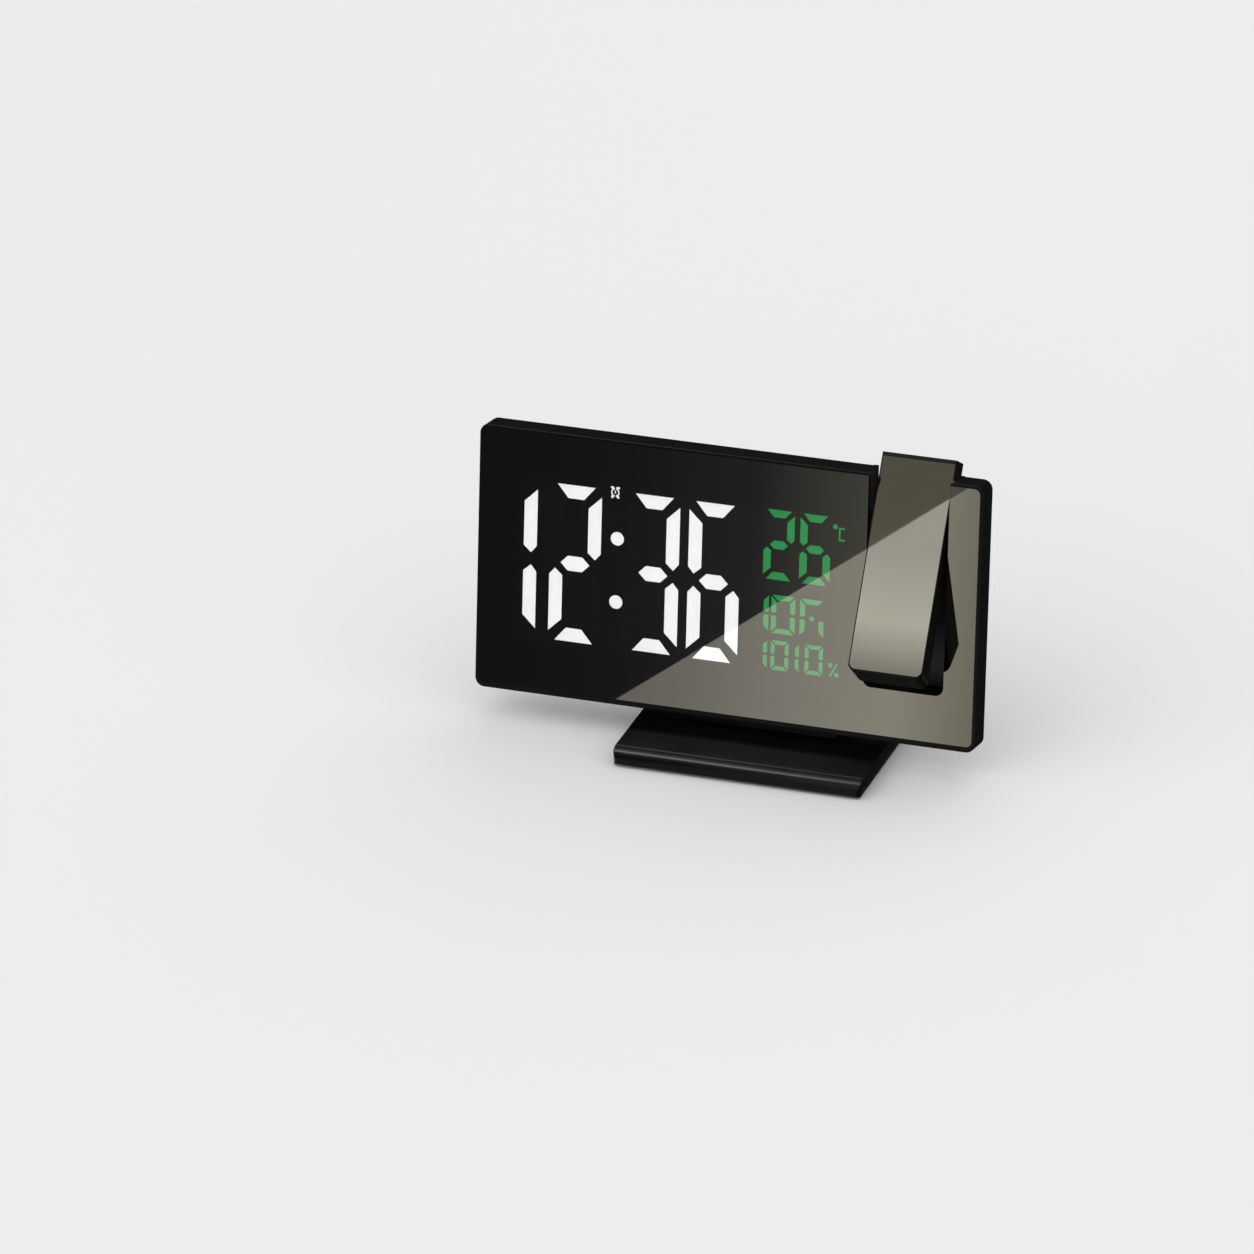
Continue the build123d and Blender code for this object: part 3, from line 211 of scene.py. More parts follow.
def colour_ramp(tree: Any, tones: Tones) -> Any:
    """Make a colour ramp.

    Args:
        tree: The node tree.
        tones: Places from 0 to 1, each with the colour there.

    Returns:
        The ramp node.
    """
    ramp = tree.nodes.new("ShaderNodeValToRGB")
    stops = ramp.color_ramp.elements
    for place, tone in tones[1:-1]:
        stops.new(place).color = tone
    for end in (0, -1):
        stops[end].position, stops[end].color = tones[end]
    return ramp


@dataclass(frozen=True)
class Pattern:
    """A cloudy pattern that is fixed to a piece and gives it its small differences.

    Attributes:
        scale: The pattern's repeats per metre.
        detail: How many finer layers it has.
        stretch: How much finer it runs along each axis.
        tint_limits: Its values between which a colour goes from one tone to the other.
        drift_limits: Its values between which the roughness goes from low to high.
    """

    scale: float
    detail: float = 3.0
    stretch: Point = (1.0, 1.0, 1.0)
    tint_limits: Tuple[float, float] = (0.32, 0.68)
    drift_limits: Tuple[float, float] = (0.3, 0.7)

    def lay(self, tree: Any) -> Any:
        """Make the pattern.

        Args:
            tree: The node tree that gets it.

        Returns:
            The pattern's output socket.
        """
        coordinates = tree.nodes.new("ShaderNodeTexCoord")
        mapping = tree.nodes.new("ShaderNodeMapping")
        mapping.inputs["Scale"].default_value = self.stretch
        noise = tree.nodes.new("ShaderNodeTexNoise")
        noise.inputs["Scale"].default_value = self.scale
        noise.inputs["Detail"].default_value = self.detail
        tree.links.new(coordinates.outputs["Object"], mapping.inputs["Vector"])
        tree.links.new(mapping.outputs["Vector"], noise.inputs["Vector"])
        return noise.outputs["Fac"]

    def tint(self, tree: Any, pattern: Any, first: Colour, second: Colour, socket: Any) -> None:
        """Let the pattern move a colour between two tones.

        Args:
            tree: The node tree.
            pattern: The pattern's output socket.
            first: The tone where the pattern is low.
            second: The tone where the pattern is high.
            socket: The shader's socket that takes the colour.
        """
        ramp = colour_ramp(tree, tuple(zip(self.tint_limits, (first, second))))
        tree.links.new(pattern, ramp.inputs["Fac"])
        tree.links.new(ramp.outputs["Color"], socket)

    def roughen(self, tree: Any, shader: Any, pattern: Any, roughness: float, drift: float) -> None:
        """Let the pattern move a surface's roughness a little up and down.

        Args:
            tree: The node tree.
            shader: The surface's shader.
            pattern: The pattern's output socket.
            roughness: The middle of the roughness.
            drift: How far it goes either way.
        """
        spread = tree.nodes.new("ShaderNodeMapRange")
        spread.inputs["From Min"].default_value, spread.inputs["From Max"].default_value = self.drift_limits
        spread.inputs["To Min"].default_value = roughness - drift
        spread.inputs["To Max"].default_value = roughness + drift
        tree.links.new(pattern, spread.inputs["Value"])
        tree.links.new(spread.outputs["Result"], shader.inputs["Roughness"])


@dataclass(frozen=True)
class Relief:
    """How a pattern stands off a surface.

    Attributes:
        strength: How much of the relief shows.
        height: The relief's height in metres.
    """

    strength: float
    height: float

    def emboss(self, tree: Any, shader: Any, pattern: Any) -> None:
        """Raise a pattern on a surface.

        Args:
            tree: The node tree.
            shader: The surface's shader.
            pattern: The pattern's output socket.
        """
        bump = tree.nodes.new("ShaderNodeBump")
        bump.inputs["Strength"].default_value = self.strength
        bump.inputs["Distance"].default_value = self.height
        tree.links.new(pattern, bump.inputs["Height"])
        tree.links.new(bump.outputs["Normal"], shader.inputs["Normal"])


@dataclass(frozen=True)
class SatinPlastic:
    """Black moulded plastic with a fine spark-eroded grain.

    Attributes:
        name: The material's name.
        tone: The grey of the plastic.
        roughness: How satin the surface is.
        grain_height: The grain's height in metres.
        shine: How strongly the surface reflects.
        lip_polish: How much gloss lies over a rounded edge between the top and the front.
        lip_band: Where that gloss starts, is full from and to, and ends, from 0 for a face
            that lies flat to 1 for one that is upright.
        grain: The grain.
        grain_strength: How much of the grain shows.
        cloud: A faint cloud in the tone.
        cloud_dark: The share of the tone in the cloud's dark places.
        cloud_light: The share of the tone in its light places.
        drift: How far the roughness drifts either way.
    """

    name: str
    tone: float = 0.0038
    roughness: float = 0.38
    grain_height: float = 0.00003
    shine: float = 0.14
    lip_polish: float = 0.0
    lip_band: Tuple[float, float, float, float] = (0.3, 0.5, 0.75, 0.9)
    grain: Pattern = Pattern(2600.0, 2.0)
    grain_strength: float = 0.35
    cloud: Pattern = Pattern(34.0, 2.0)
    cloud_dark: Point = (0.85, 0.87, 0.9)
    cloud_light: Point = (1.15, 1.17, 1.22)
    drift: float = 0.03

    def polish_lip(self, tree: Any, shader: Any) -> None:
        """Lay gloss over the rounded edge between the top and the front.

        Args:
            tree: The node tree.
            shader: The shader that gets the gloss.
        """
        coordinates = tree.nodes.new("ShaderNodeTexCoord")
        axes = tree.nodes.new("ShaderNodeSeparateXYZ")
        forward = tree.nodes.new("ShaderNodeMapRange")
        forward.inputs["From Max"].default_value = -1.0
        dull, polished = grey(0.0), grey(self.lip_polish)
        ramp = colour_ramp(tree, tuple(zip(self.lip_band, (dull, polished, polished, dull))))
        shader.inputs["Coat Roughness"].default_value = self.roughness
        tree.links.new(coordinates.outputs["Normal"], axes.inputs["Vector"])
        tree.links.new(axes.outputs["Y"], forward.inputs["Value"])
        tree.links.new(forward.outputs["Result"], ramp.inputs["Fac"])
        tree.links.new(ramp.outputs["Color"], shader.inputs["Coat Weight"])

    def build(self) -> bpy.types.Material:
        """The node material."""
        material, tree, shader = new_material(self.name)
        shader.inputs["Specular IOR Level"].default_value = self.shine
        if self.lip_polish > 0.0:
            self.polish_lip(tree, shader)
        grain, cloud = self.grain.lay(tree), self.cloud.lay(tree)
        darker, lighter = (shade(grey(self.tone), share) for share in (self.cloud_dark, self.cloud_light))
        self.cloud.tint(tree, cloud, darker, lighter, shader.inputs["Base Color"])
        self.cloud.roughen(tree, shader, cloud, self.roughness, self.drift)
        Relief(self.grain_strength, self.grain_height).emboss(tree, shader, grain)
        return material


@dataclass(frozen=True)
class SmokedMirror:
    """A half-silvered smoked mirror: it reflects, and bright figures show through it.

    Only its front is silvered, so a figure behind it shows once. Its edges are painted black.

    Attributes:
        name: The material's name.
        silver: The colour of what it reflects where it is backed with paint.
        clear_silver: The colour of what its front reflects where it is clear.
        cover: How much of what lies behind its clear field is hidden.
        middle_depth: How far behind the body's front the middle of its thickness is, in metres.
        field: The clear field: its left, right, lowest and highest places, in metres.
        soft_edge: How far the field fades at its edges, in metres.
        edge_paint: The colour of the edges.
        lean_back: The direction from the pane's front to its rear.
        face_limit: How squarely a face looks forward or back, at least; what looks less so is
            an edge.
        haze: The haze on the silver.
        roughness: How blurred a reflection is.
        drift: How far the haze moves the roughness either way.
    """

    name: str
    silver: Colour = (0.266, 0.256, 0.222, 1.0)
    clear_silver: Colour = (0.484, 0.465, 0.404, 1.0)
    cover: float = 0.55
    middle_depth: float = 0.0011
    field: Tuple[float, float, float, float] = (-0.08, 0.044, 0.029, 0.0905)
    soft_edge: float = 0.00005
    edge_paint: Colour = grey(0.012)
    lean_back: Point = tuple(BODY.back())
    face_limit: float = 0.7
    haze: Pattern = Pattern(60.0)
    roughness: float = 0.0225
    drift: float = 0.0075

    def in_field(self, tree: Any) -> Any:
        """The output socket that is 1 in the clear field and fades to 0 outside it."""
        coordinates = tree.nodes.new("ShaderNodeTexCoord")
        axes = tree.nodes.new("ShaderNodeSeparateXYZ")
        tree.links.new(coordinates.outputs["Object"], axes.inputs["Vector"])
        left, right, low, high = self.field
        edges = (("X", left, -1.0), ("X", right, 1.0), ("Z", low, -1.0), ("Z", high, 1.0))
        inside = None
        for axis, edge, outward in edges:
            fade = tree.nodes.new("ShaderNodeMapRange")
            fade.interpolation_type = "SMOOTHSTEP"
            fade.inputs["From Min"].default_value = edge + outward * self.soft_edge
            fade.inputs["From Max"].default_value = edge
            tree.links.new(axes.outputs[axis], fade.inputs["Value"])
            if inside is None:
                inside = fade.outputs["Result"]
                continue
            both = tree.nodes.new("ShaderNodeMath")
            both.operation = "MULTIPLY"
            tree.links.new(inside, both.inputs[0])
            tree.links.new(fade.outputs["Result"], both.inputs[1])
            inside = both.outputs["Value"]
        return inside

    def on_face(self, tree: Any) -> Any:
        """The output socket that is 1 on the front and the rear, and 0 on the edges."""
        coordinates = tree.nodes.new("ShaderNodeTexCoord")
        slope = tree.nodes.new("ShaderNodeVectorMath")
        slope.operation = "DOT_PRODUCT"
        slope.inputs[1].default_value = self.lean_back
        square = tree.nodes.new("ShaderNodeMath")
        square.operation = "ABSOLUTE"
        face = tree.nodes.new("ShaderNodeMath")
        face.operation = "GREATER_THAN"
        face.inputs[1].default_value = self.face_limit
        tree.links.new(coordinates.outputs["Normal"], slope.inputs[0])
        tree.links.new(slope.outputs["Value"], square.inputs[0])
        tree.links.new(square.outputs["Value"], face.inputs[0])
        return face.outputs["Value"]

    def front_cover(self, tree: Any) -> Any:
        """The output socket that is the cover on the front half of the thickness and 0 behind it."""
        coordinates = tree.nodes.new("ShaderNodeTexCoord")
        depth = tree.nodes.new("ShaderNodeVectorMath")
        depth.operation = "DOT_PRODUCT"
        depth.inputs[1].default_value = self.lean_back
        behind = tree.nodes.new("ShaderNodeMath")
        behind.operation = "LESS_THAN"
        behind.inputs[1].default_value = Vector(BODY.foot).dot(Vector(self.lean_back)) + self.middle_depth
        share = tree.nodes.new("ShaderNodeMapRange")
        share.inputs["To Max"].default_value = self.cover
        tree.links.new(coordinates.outputs["Object"], depth.inputs[0])
        tree.links.new(depth.outputs["Value"], behind.inputs[0])
        tree.links.new(behind.outputs["Value"], share.inputs["Value"])
        return share.outputs["Result"]

    def clear(self, tree: Any, shader: Any, painted: Any) -> None:
        """Open the clear field in the silver.

        Args:
            tree: The node tree.
            shader: The mirror's shader.
            painted: The node that mixes the silver with the paint of the edges.
        """
        inside = self.in_field(tree)
        silver = tree.nodes.new("ShaderNodeMix")
        silver.data_type = "RGBA"
        silver.inputs["A"].default_value = self.silver
        silver.inputs["B"].default_value = self.clear_silver
        tree.links.new(inside, silver.inputs["Factor"])
        tree.links.new(silver.outputs["Result"], painted.inputs["B"])
        cover = tree.nodes.new("ShaderNodeMapRange")
        cover.inputs["To Min"].default_value = 1.0
        tree.links.new(self.front_cover(tree), cover.inputs["To Max"])
        tree.links.new(inside, cover.inputs["Value"])
        tree.links.new(cover.outputs["Result"], shader.inputs["Alpha"])

    def build(self) -> bpy.types.Material:
        """The node material."""
        material, tree, shader = new_material(self.name)
        shader.inputs["Metallic"].default_value = 1.0
        painted = tree.nodes.new("ShaderNodeMix")
        painted.data_type = "RGBA"
        painted.inputs["A"].default_value = self.edge_paint
        painted.inputs["B"].default_value = self.silver
        tree.links.new(self.on_face(tree), painted.inputs["Factor"])
        tree.links.new(painted.outputs["Result"], shader.inputs["Base Color"])
        if self.cover < 1.0:
            self.clear(tree, shader, painted)
        self.haze.roughen(tree, shader, self.haze.lay(tree), self.roughness, self.drift)
        return material


@dataclass(frozen=True)
class LitDiffuser:
    """A milky diffuser with a lamp behind it.

    Attributes:
        name: The material's name.
        milk: The diffuser's own colour.
        glow: The colour of its light.
        power: How strongly it glows.
        roughness: How matt it is.
        cloud: The cloud in the milk.
        dim: The share of the light that comes through the cloud.
    """

    name: str
    milk: Colour
    glow: Colour
    power: float
    roughness: float = 0.5
    cloud: Pattern = Pattern(260.0, 2.0)
    dim: Point = (0.94, 0.94, 0.94)

    def build(self) -> bpy.types.Material:
        """The node material."""
        material, tree, shader = new_material(self.name)
        shader.inputs["Base Color"].default_value = self.milk
        shader.inputs["Roughness"].default_value = self.roughness
        shader.inputs["Emission Strength"].default_value = self.power
        dimmed = shade(self.glow, self.dim)
        self.cloud.tint(tree, self.cloud.lay(tree), dimmed, self.glow, shader.inputs["Emission Color"])
        return material


@dataclass(frozen=True)
class PlainPlastic:
    """A moulded piece with a slight mottle in its colour and a soft surface.

    Attributes:
        name: The material's name.
        colour: The piece's colour.
        roughness: How matt the surface is.
        coat: How much clear gloss lies over it.
        shine: How strongly the surface reflects.
        mottle: The mottle.
        mottle_dark: The share of the colour in the mottle's dark places.
        relief: How far the mottle stands off the surface.
        drift: How far the roughness drifts either way.
    """

    name: str
    colour: Colour
    roughness: float = 0.45
    coat: float = 0.0
    shine: float = 0.5
    mottle: Pattern = Pattern(420.0)
    mottle_dark: Point = (0.88, 0.88, 0.88)
    relief: Relief = Relief(0.2, 0.00002)
    drift: float = 0.05

    def build(self) -> bpy.types.Material:
        """The node material."""
        material, tree, shader = new_material(self.name)
        shader.inputs["Coat Weight"].default_value = self.coat
        shader.inputs["Specular IOR Level"].default_value = self.shine
        mottle = self.mottle.lay(tree)
        darker = shade(self.colour, self.mottle_dark)
        self.mottle.tint(tree, mottle, darker, self.colour, shader.inputs["Base Color"])
        self.mottle.roughen(tree, shader, mottle, self.roughness, self.drift)
        self.relief.emboss(tree, shader, mottle)
        return material


@dataclass(frozen=True)
class Circuit:
    """Green solder mask over copper tracks.

    Attributes:
        name: The material's name.
        mask: The mask's colour.
        track: The colour where a track lies under it.
        roughness: How dull the mask is.
        track_scale: The fields between tracks per metre.
        track_width: A track's share of the width of a field.
        relief: How far the tracks stand off the board.
    """

    name: str = "solder_mask"
    mask: Colour = (0.012, 0.11, 0.035, 1.0)
    track: Colour = (0.03, 0.2, 0.07, 1.0)
    roughness: float = 0.28
    track_scale: float = 160.0
    track_width: float = 0.035
    relief: Relief = Relief(0.3, 0.00003)

    def build(self) -> bpy.types.Material:
        """The node material."""
        material, tree, shader = new_material(self.name)
        shader.inputs["Roughness"].default_value = self.roughness
        coordinates = tree.nodes.new("ShaderNodeTexCoord")
        bricks = tree.nodes.new("ShaderNodeTexBrick")
        bricks.inputs["Scale"].default_value = self.track_scale
        bricks.inputs["Mortar Size"].default_value = self.track_width
        bricks.inputs["Color1"].default_value = self.mask
        bricks.inputs["Color2"].default_value = self.mask
        bricks.inputs["Mortar"].default_value = self.track
        tree.links.new(coordinates.outputs["Object"], bricks.inputs["Vector"])
        tree.links.new(bricks.outputs["Color"], shader.inputs["Base Color"])
        self.relief.emboss(tree, shader, bricks.outputs["Fac"])
        return material


@dataclass(frozen=True)
class DrawnMetal:
    """Plated metal with fine drawn lines.

    Attributes:
        name: The material's name.
        colour: The metal's colour.
        roughness: How dull it is.
        lines: The drawn lines.
        relief: How far the lines stand off the metal.
        drift: How far the roughness drifts either way.
    """

    name: str
    colour: Colour
    roughness: float = 0.28
    lines: Pattern = Pattern(900.0, 2.0, (1.0, 0.08, 1.0))
    relief: Relief = Relief(0.15, 0.00001)
    drift: float = 0.07

    def build(self) -> bpy.types.Material:
        """The node material."""
        material, tree, shader = new_material(self.name)
        shader.inputs["Metallic"].default_value = 1.0
        shader.inputs["Base Color"].default_value = self.colour
        lines = self.lines.lay(tree)
        self.lines.roughen(tree, shader, lines, self.roughness, self.drift)
        self.relief.emboss(tree, shader, lines)
        return material


@dataclass(frozen=True)
class ClearLens:
    """Clear moulded lens glass.

    Attributes:
        name: The material's name.
        colour: The glass's faint colour.
        cover: How much of what lies behind it is hidden.
        bend: Its index of refraction.
        flow: The lines of the moulding's flow.
        roughness: How blurred a reflection is.
        drift: How far the flow moves the roughness either way.
    """

    name: str = "lens_glass_clear"
    colour: Colour = (0.86, 0.9, 0.94, 1.0)
    cover: float = 0.45
    bend: float = 1.49
    flow: Pattern = Pattern(120.0, 1.0)
    roughness: float = 0.035
    drift: float = 0.015

    def build(self) -> bpy.types.Material:
        """The node material."""
        material, tree, shader = new_material(self.name)
        shader.inputs["Base Color"].default_value = self.colour
        shader.inputs["Alpha"].default_value = self.cover
        shader.inputs["IOR"].default_value = self.bend
        shader.inputs["Coat Weight"].default_value = 1.0
        self.flow.roughen(tree, shader, self.flow.lay(tree), self.roughness, self.drift)
        return material


@dataclass(frozen=True)
class SoftRubber:
    """Matt black rubber with a powdery surface.

    Attributes:
        name: The material's name.
        dark: The rubber's own colour.
        dusty: Its colour under the powder.
        roughness: How matt it is.
        powder: The powder.
        relief: How far the powder stands off the rubber.
    """

    name: str = "soft_rubber"
    dark: Colour = grey(0.014)
    dusty: Colour = (0.028, 0.027, 0.026, 1.0)
    roughness: float = 0.78
    powder: Pattern = Pattern(1500.0, 4.0)
    relief: Relief = Relief(0.4, 0.00004)

    def build(self) -> bpy.types.Material:
        """The node material."""
        material, tree, shader = new_material(self.name)
        shader.inputs["Roughness"].default_value = self.roughness
        powder = self.powder.lay(tree)
        self.powder.tint(tree, powder, self.dark, self.dusty, shader.inputs["Base Color"])
        self.relief.emboss(tree, shader, powder)
        return material


# ---------------------------------------------------------------- dressing and modelling


def dress(nodes: Dict[str, bpy.types.Object], names: Sequence[str], finish: Any) -> None:
    """Give some nodes one finish.

    Args:
        nodes: The frame's nodes by name.
        names: The nodes that get the finish.
        finish: A finish with a build method.
    """
    material = finish.build()
    for name in names:
        mesh = nodes[name].data
        mesh.materials.clear()
        mesh.materials.append(material)
        LOG.info("%s is finished in %s", name, material.name)


def deselect() -> None:
    """Leave nothing selected."""
    if bpy.context.object is not None and bpy.context.object.mode != "OBJECT":
        bpy.ops.object.mode_set(mode="OBJECT")
    bpy.ops.object.select_all(action="DESELECT")


def settle(piece: bpy.types.Object, turn: Matrix) -> bpy.types.Object:
    """Put a piece in place and apply the place to its mesh.

    Args:
        piece: The piece, made around the origin.
        turn: Where it goes.

    Returns:
        The same piece.
    """
    piece.matrix_world = turn
    bpy.context.view_layer.update()
    piece.data.transform(piece.matrix_world)
    piece.matrix_world = Matrix.Identity(4)
    return piece


# ---------------------------------------------------------------- sub-assemblies


@dataclass
class ClockCase:
    """The black case: the front frame with the mirror, the arm's shells and mirror, and the rear cover."""

    frame: Dict[str, Any]
    plastic: SatinPlastic = SatinPlastic("case_plastic_satin")
    cover_plastic: SatinPlastic = SatinPlastic("cover_plastic_grained", 0.011, 0.44, 0.00006, 0.4)
    mirror: SmokedMirror = SmokedMirror("smoked_mirror_pane")
    arm_mirror: SmokedMirror = SmokedMirror(
        "arm_mirror_pane", (0.6, 0.585, 0.535, 1.0), cover=1.0, lean_back=tuple(-arm_pane().facing)
    )

    def build(self) -> None:
        """Dress the case."""
        nodes = self.frame["nodes"]
        dress(nodes, ("front_frame", "arm_front_shell", "arm_rear_shell"), self.plastic)
        dress(nodes, ("rear_cover", "battery_door", "cell_holder"), self.cover_plastic)
        dress(nodes, ("mirror_panel",), self.mirror)
        dress(nodes, ("arm_mirror",), self.arm_mirror)


@dataclass
class Display:
    """The lit display behind the mirror."""

    frame: Dict[str, Any]
    white: LitDiffuser = LitDiffuser("white_figures", (0.9, 0.92, 0.95, 1.0), grey(1.0), 1.52)
    green: LitDiffuser = LitDiffuser("green_figures", (0.02, 0.3, 0.12, 1.0), (0.002, 1.0, 0.17, 1.0), 0.42)
    mask: PlainPlastic = PlainPlastic("display_mask", grey(0.005), 0.7, shine=0.0)
    dark: PlainPlastic = PlainPlastic("dark_bars", grey(0.007), 0.6, shine=0.0)

    def build(self) -> None:
        """Dress the display."""
        nodes = self.frame["nodes"]
        dress(nodes, ("time_figures", "colon_dots", "alarm_pictogram"), self.white)
        dress(nodes, ("small_figures",), self.green)
        dress(nodes, ("light_box", "optics_barrel"), self.mask)
        dress(nodes, ("dark_segments",), self.dark)


@dataclass
class Electronics:
    """The boards, what is soldered on them, and the sockets."""

    frame: Dict[str, Any]
    circuit: Circuit = Circuit()
    resin: PlainPlastic = PlainPlastic("chip_resin_matt", (0.018, 0.018, 0.019, 1.0), 0.5)
    lamps: PlainPlastic = PlainPlastic("lamp_resin_clear", (0.78, 0.75, 0.58, 1.0), 0.25, 0.5)
    sleeve: PlainPlastic = PlainPlastic("capacitor_sleeve_blue", (0.012, 0.02, 0.1, 1.0), 0.3, 0.4)
    tongue: PlainPlastic = PlainPlastic("port_tongue_white", (0.72, 0.72, 0.7, 1.0), 0.4)
    nickel: DrawnMetal = DrawnMetal("nickel_plate", (0.66, 0.65, 0.63, 1.0), 0.24)
    red: PlainPlastic = PlainPlastic("red_lamp_resin", (0.62, 0.02, 0.01, 1.0), 0.15, 1.0)

    def build(self) -> None:
        """Dress the electronics."""
        nodes = self.frame["nodes"]
        dress(nodes, ("display_board", "main_board", "projector_board"), self.circuit)
        dress(nodes, ("clock_chip", "buzzer", "tact_switches", "driver_chip", "power_inlet"), self.resin)
        dress(nodes, ("display_leds", "climate_sensor"), self.lamps)
        dress(nodes, ("capacitors",), self.sleeve)
        dress(nodes, ("charging_tongue",), self.tongue)
        dress(nodes, ("projector_led",), self.red)
        plated = ("quartz_crystal", "inlet_pin", "charging_port", "coin_cell", "cell_contact")
        dress(nodes, plated + ("pivot_pin_left", "pivot_pin_right"), self.nickel)


@dataclass
class Hardware:
    """Screws, bushes, ballast and rubber pieces."""

    frame: Dict[str, Any]
    black: DrawnMetal = DrawnMetal("black_zinc", (0.07, 0.07, 0.075, 1.0), 0.36)
    zinc: DrawnMetal = DrawnMetal("zinc_plate", (0.42, 0.43, 0.45, 1.0), 0.4)
    acetal: PlainPlastic = PlainPlastic("acetal_black", grey(0.012), 0.4, shine=0.2)
    rubber: SoftRubber = SoftRubber()

    def build(self) -> None:
        """Dress the hardware."""
        nodes = self.frame["nodes"]
        screws = ("case_screws", "board_screws", "neck_screws", "arm_screws", "base_screws")
        dress(nodes, screws, self.black)
        dress(nodes, ("ballast_plate",), self.zinc)
        dress(nodes, ("pivot_bushes",), self.acetal)
        dress(nodes, ("rubber_feet", "friction_washer"), self.rubber)


@dataclass
class ProjectorOptics:
    """The lenses and the focus ring at the arm's upper end."""

    frame: Dict[str, Any]
    glass: ClearLens = ClearLens()
    ring: SatinPlastic = SatinPlastic("ring_plastic", 0.01, 0.42, 0.00004)

    def build(self) -> None:
        """Dress the optics."""
        nodes = self.frame["nodes"]
        dress(nodes, ("condenser_lens", "image_gate", "projection_lens"), self.glass)
        dress(nodes, ("focus_ring",), self.ring)


@dataclass
class TongueBase:
    """The base with its rounded lip and the neck."""

    frame: Dict[str, Any]
    plastic: SatinPlastic = SatinPlastic("base_plastic_satin", 0.003, 0.24, 0.00002, 0.13, 0.55)
    plate: SatinPlastic = SatinPlastic("base_plate_matt", 0.009, 0.5, 0.00005)

    def build(self) -> None:
        """Dress the base."""
        nodes = self.frame["nodes"]
        dress(nodes, ("base_shell",), self.plastic)
        dress(nodes, ("base_plate",), self.plate)


class Mark(Enum):
    """The plain raised marks of the rear keys, by how many sides each has."""

    SQUARE = 4
    BELL = 24
    UP = 3
    DOWN = -3
    BEAM = 6


@dataclass
class RearKeys:
    """The five keys on the rear wall, each with a small raised mark.

    Attributes:
        frame: The loaded frame.
        plastic: The keys' finish.
        ink: The finish of the marks.
        row_height: How far up the body the keys are, in millimetres.
        pitch: The distance between keys in millimetres.
        first: The first key's place to the right, in millimetres.
        face: How far behind the body's front the keys' faces are, in millimetres.
        mark_radius: The size of a mark in millimetres.
        mark_rise: How far a mark stands off its key, in millimetres.
        mark_border: The share of a mark's radius that its border takes.
    """

    frame: Dict[str, Any]
    plastic: SatinPlastic = SatinPlastic("key_plastic", 0.012, 0.5, 0.00003)
    ink: PlainPlastic = PlainPlastic("key_mark_white", (0.55, 0.55, 0.54, 1.0), 0.5)
    row_height: float = 65.0
    pitch: float = 9.5
    first: float = -3.4
    face: float = 22.9
    mark_radius: float = 1.15
    mark_rise: float = 0.12
    mark_border: float = 0.25

    def mark(self, key: str, sign: Mark, right: float, material: bpy.types.Material) -> None:
        """Raise a mark on a key.

        Args:
            key: The key's node.
            sign: The mark.
            right: The key's place to the right, in millimetres.
            material: The mark's material.
        """
        deselect()
        radius = self.mark_radius * MM
        bpy.ops.mesh.primitive_circle_add(vertices=abs(sign.value), radius=radius, fill_type="NGON")
        piece = bpy.context.object
        piece.name = key.replace("_button", "_mark")
        bpy.ops.object.mode_set(mode="EDIT")
        bpy.ops.mesh.select_all(action="SELECT")
        bpy.ops.mesh.extrude_region_move(TRANSFORM_OT_translate={"value": (0.0, 0.0, self.mark_rise * MM)})
        bpy.ops.mesh.inset(thickness=self.mark_border * radius)
        bpy.ops.mesh.select_all(action="SELECT")
        bpy.ops.mesh.normals_make_consistent(inside=False)
        bpy.ops.object.mode_set(mode="OBJECT")
        spin = math.pi if sign is Mark.DOWN else math.pi / 4 if sign is Mark.SQUARE else 0.0
        place = Matrix.Translation(BODY.place(right, self.row_height, self.face))
        settle(piece, place @ BODY.rear_turn() @ Matrix.Rotation(spin, 4, "Z"))
        piece.data.materials.append(material)
        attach(piece, key.replace("_button", "_key"))
        LOG.info("%s is on %s", piece.name, key)

    def build(self) -> None:
        """Dress the keys and raise their marks."""
        keys = {
            "set_button": Mark.SQUARE,
            "alarm_button": Mark.BELL,
            "up_button": Mark.UP,
            "down_button": Mark.DOWN,
            "projector_button": Mark.BEAM,
        }
        dress(self.frame["nodes"], tuple(keys), self.plastic)
        material = self.ink.build()
        for step, (key, sign) in enumerate(keys.items()):
            self.mark(key, sign, self.first + step * self.pitch, material)


# ---------------------------------------------------------------- studio


@dataclass(frozen=True)
class Plate:
    """A flat rectangle that is square to the room.

    Attributes:
        left: Its left side.
        right: Its right side.
        near: Its side towards the viewer; the same as far where it stands upright.
        far: Its side away from the viewer.
        low: Its lower side; the same as high where it lies flat.
        high: Its upper side.
    """

    left: float
    right: float
    near: float
    far: float
    low: float
    high: float

    def corners(self) -> Sequence[Point]:
        """The corners in order."""
        return [
            (self.left, self.near, self.low),
            (self.right, self.near, self.low),
            (self.right, self.far, self.high),
            (self.left, self.far, self.high),
        ]


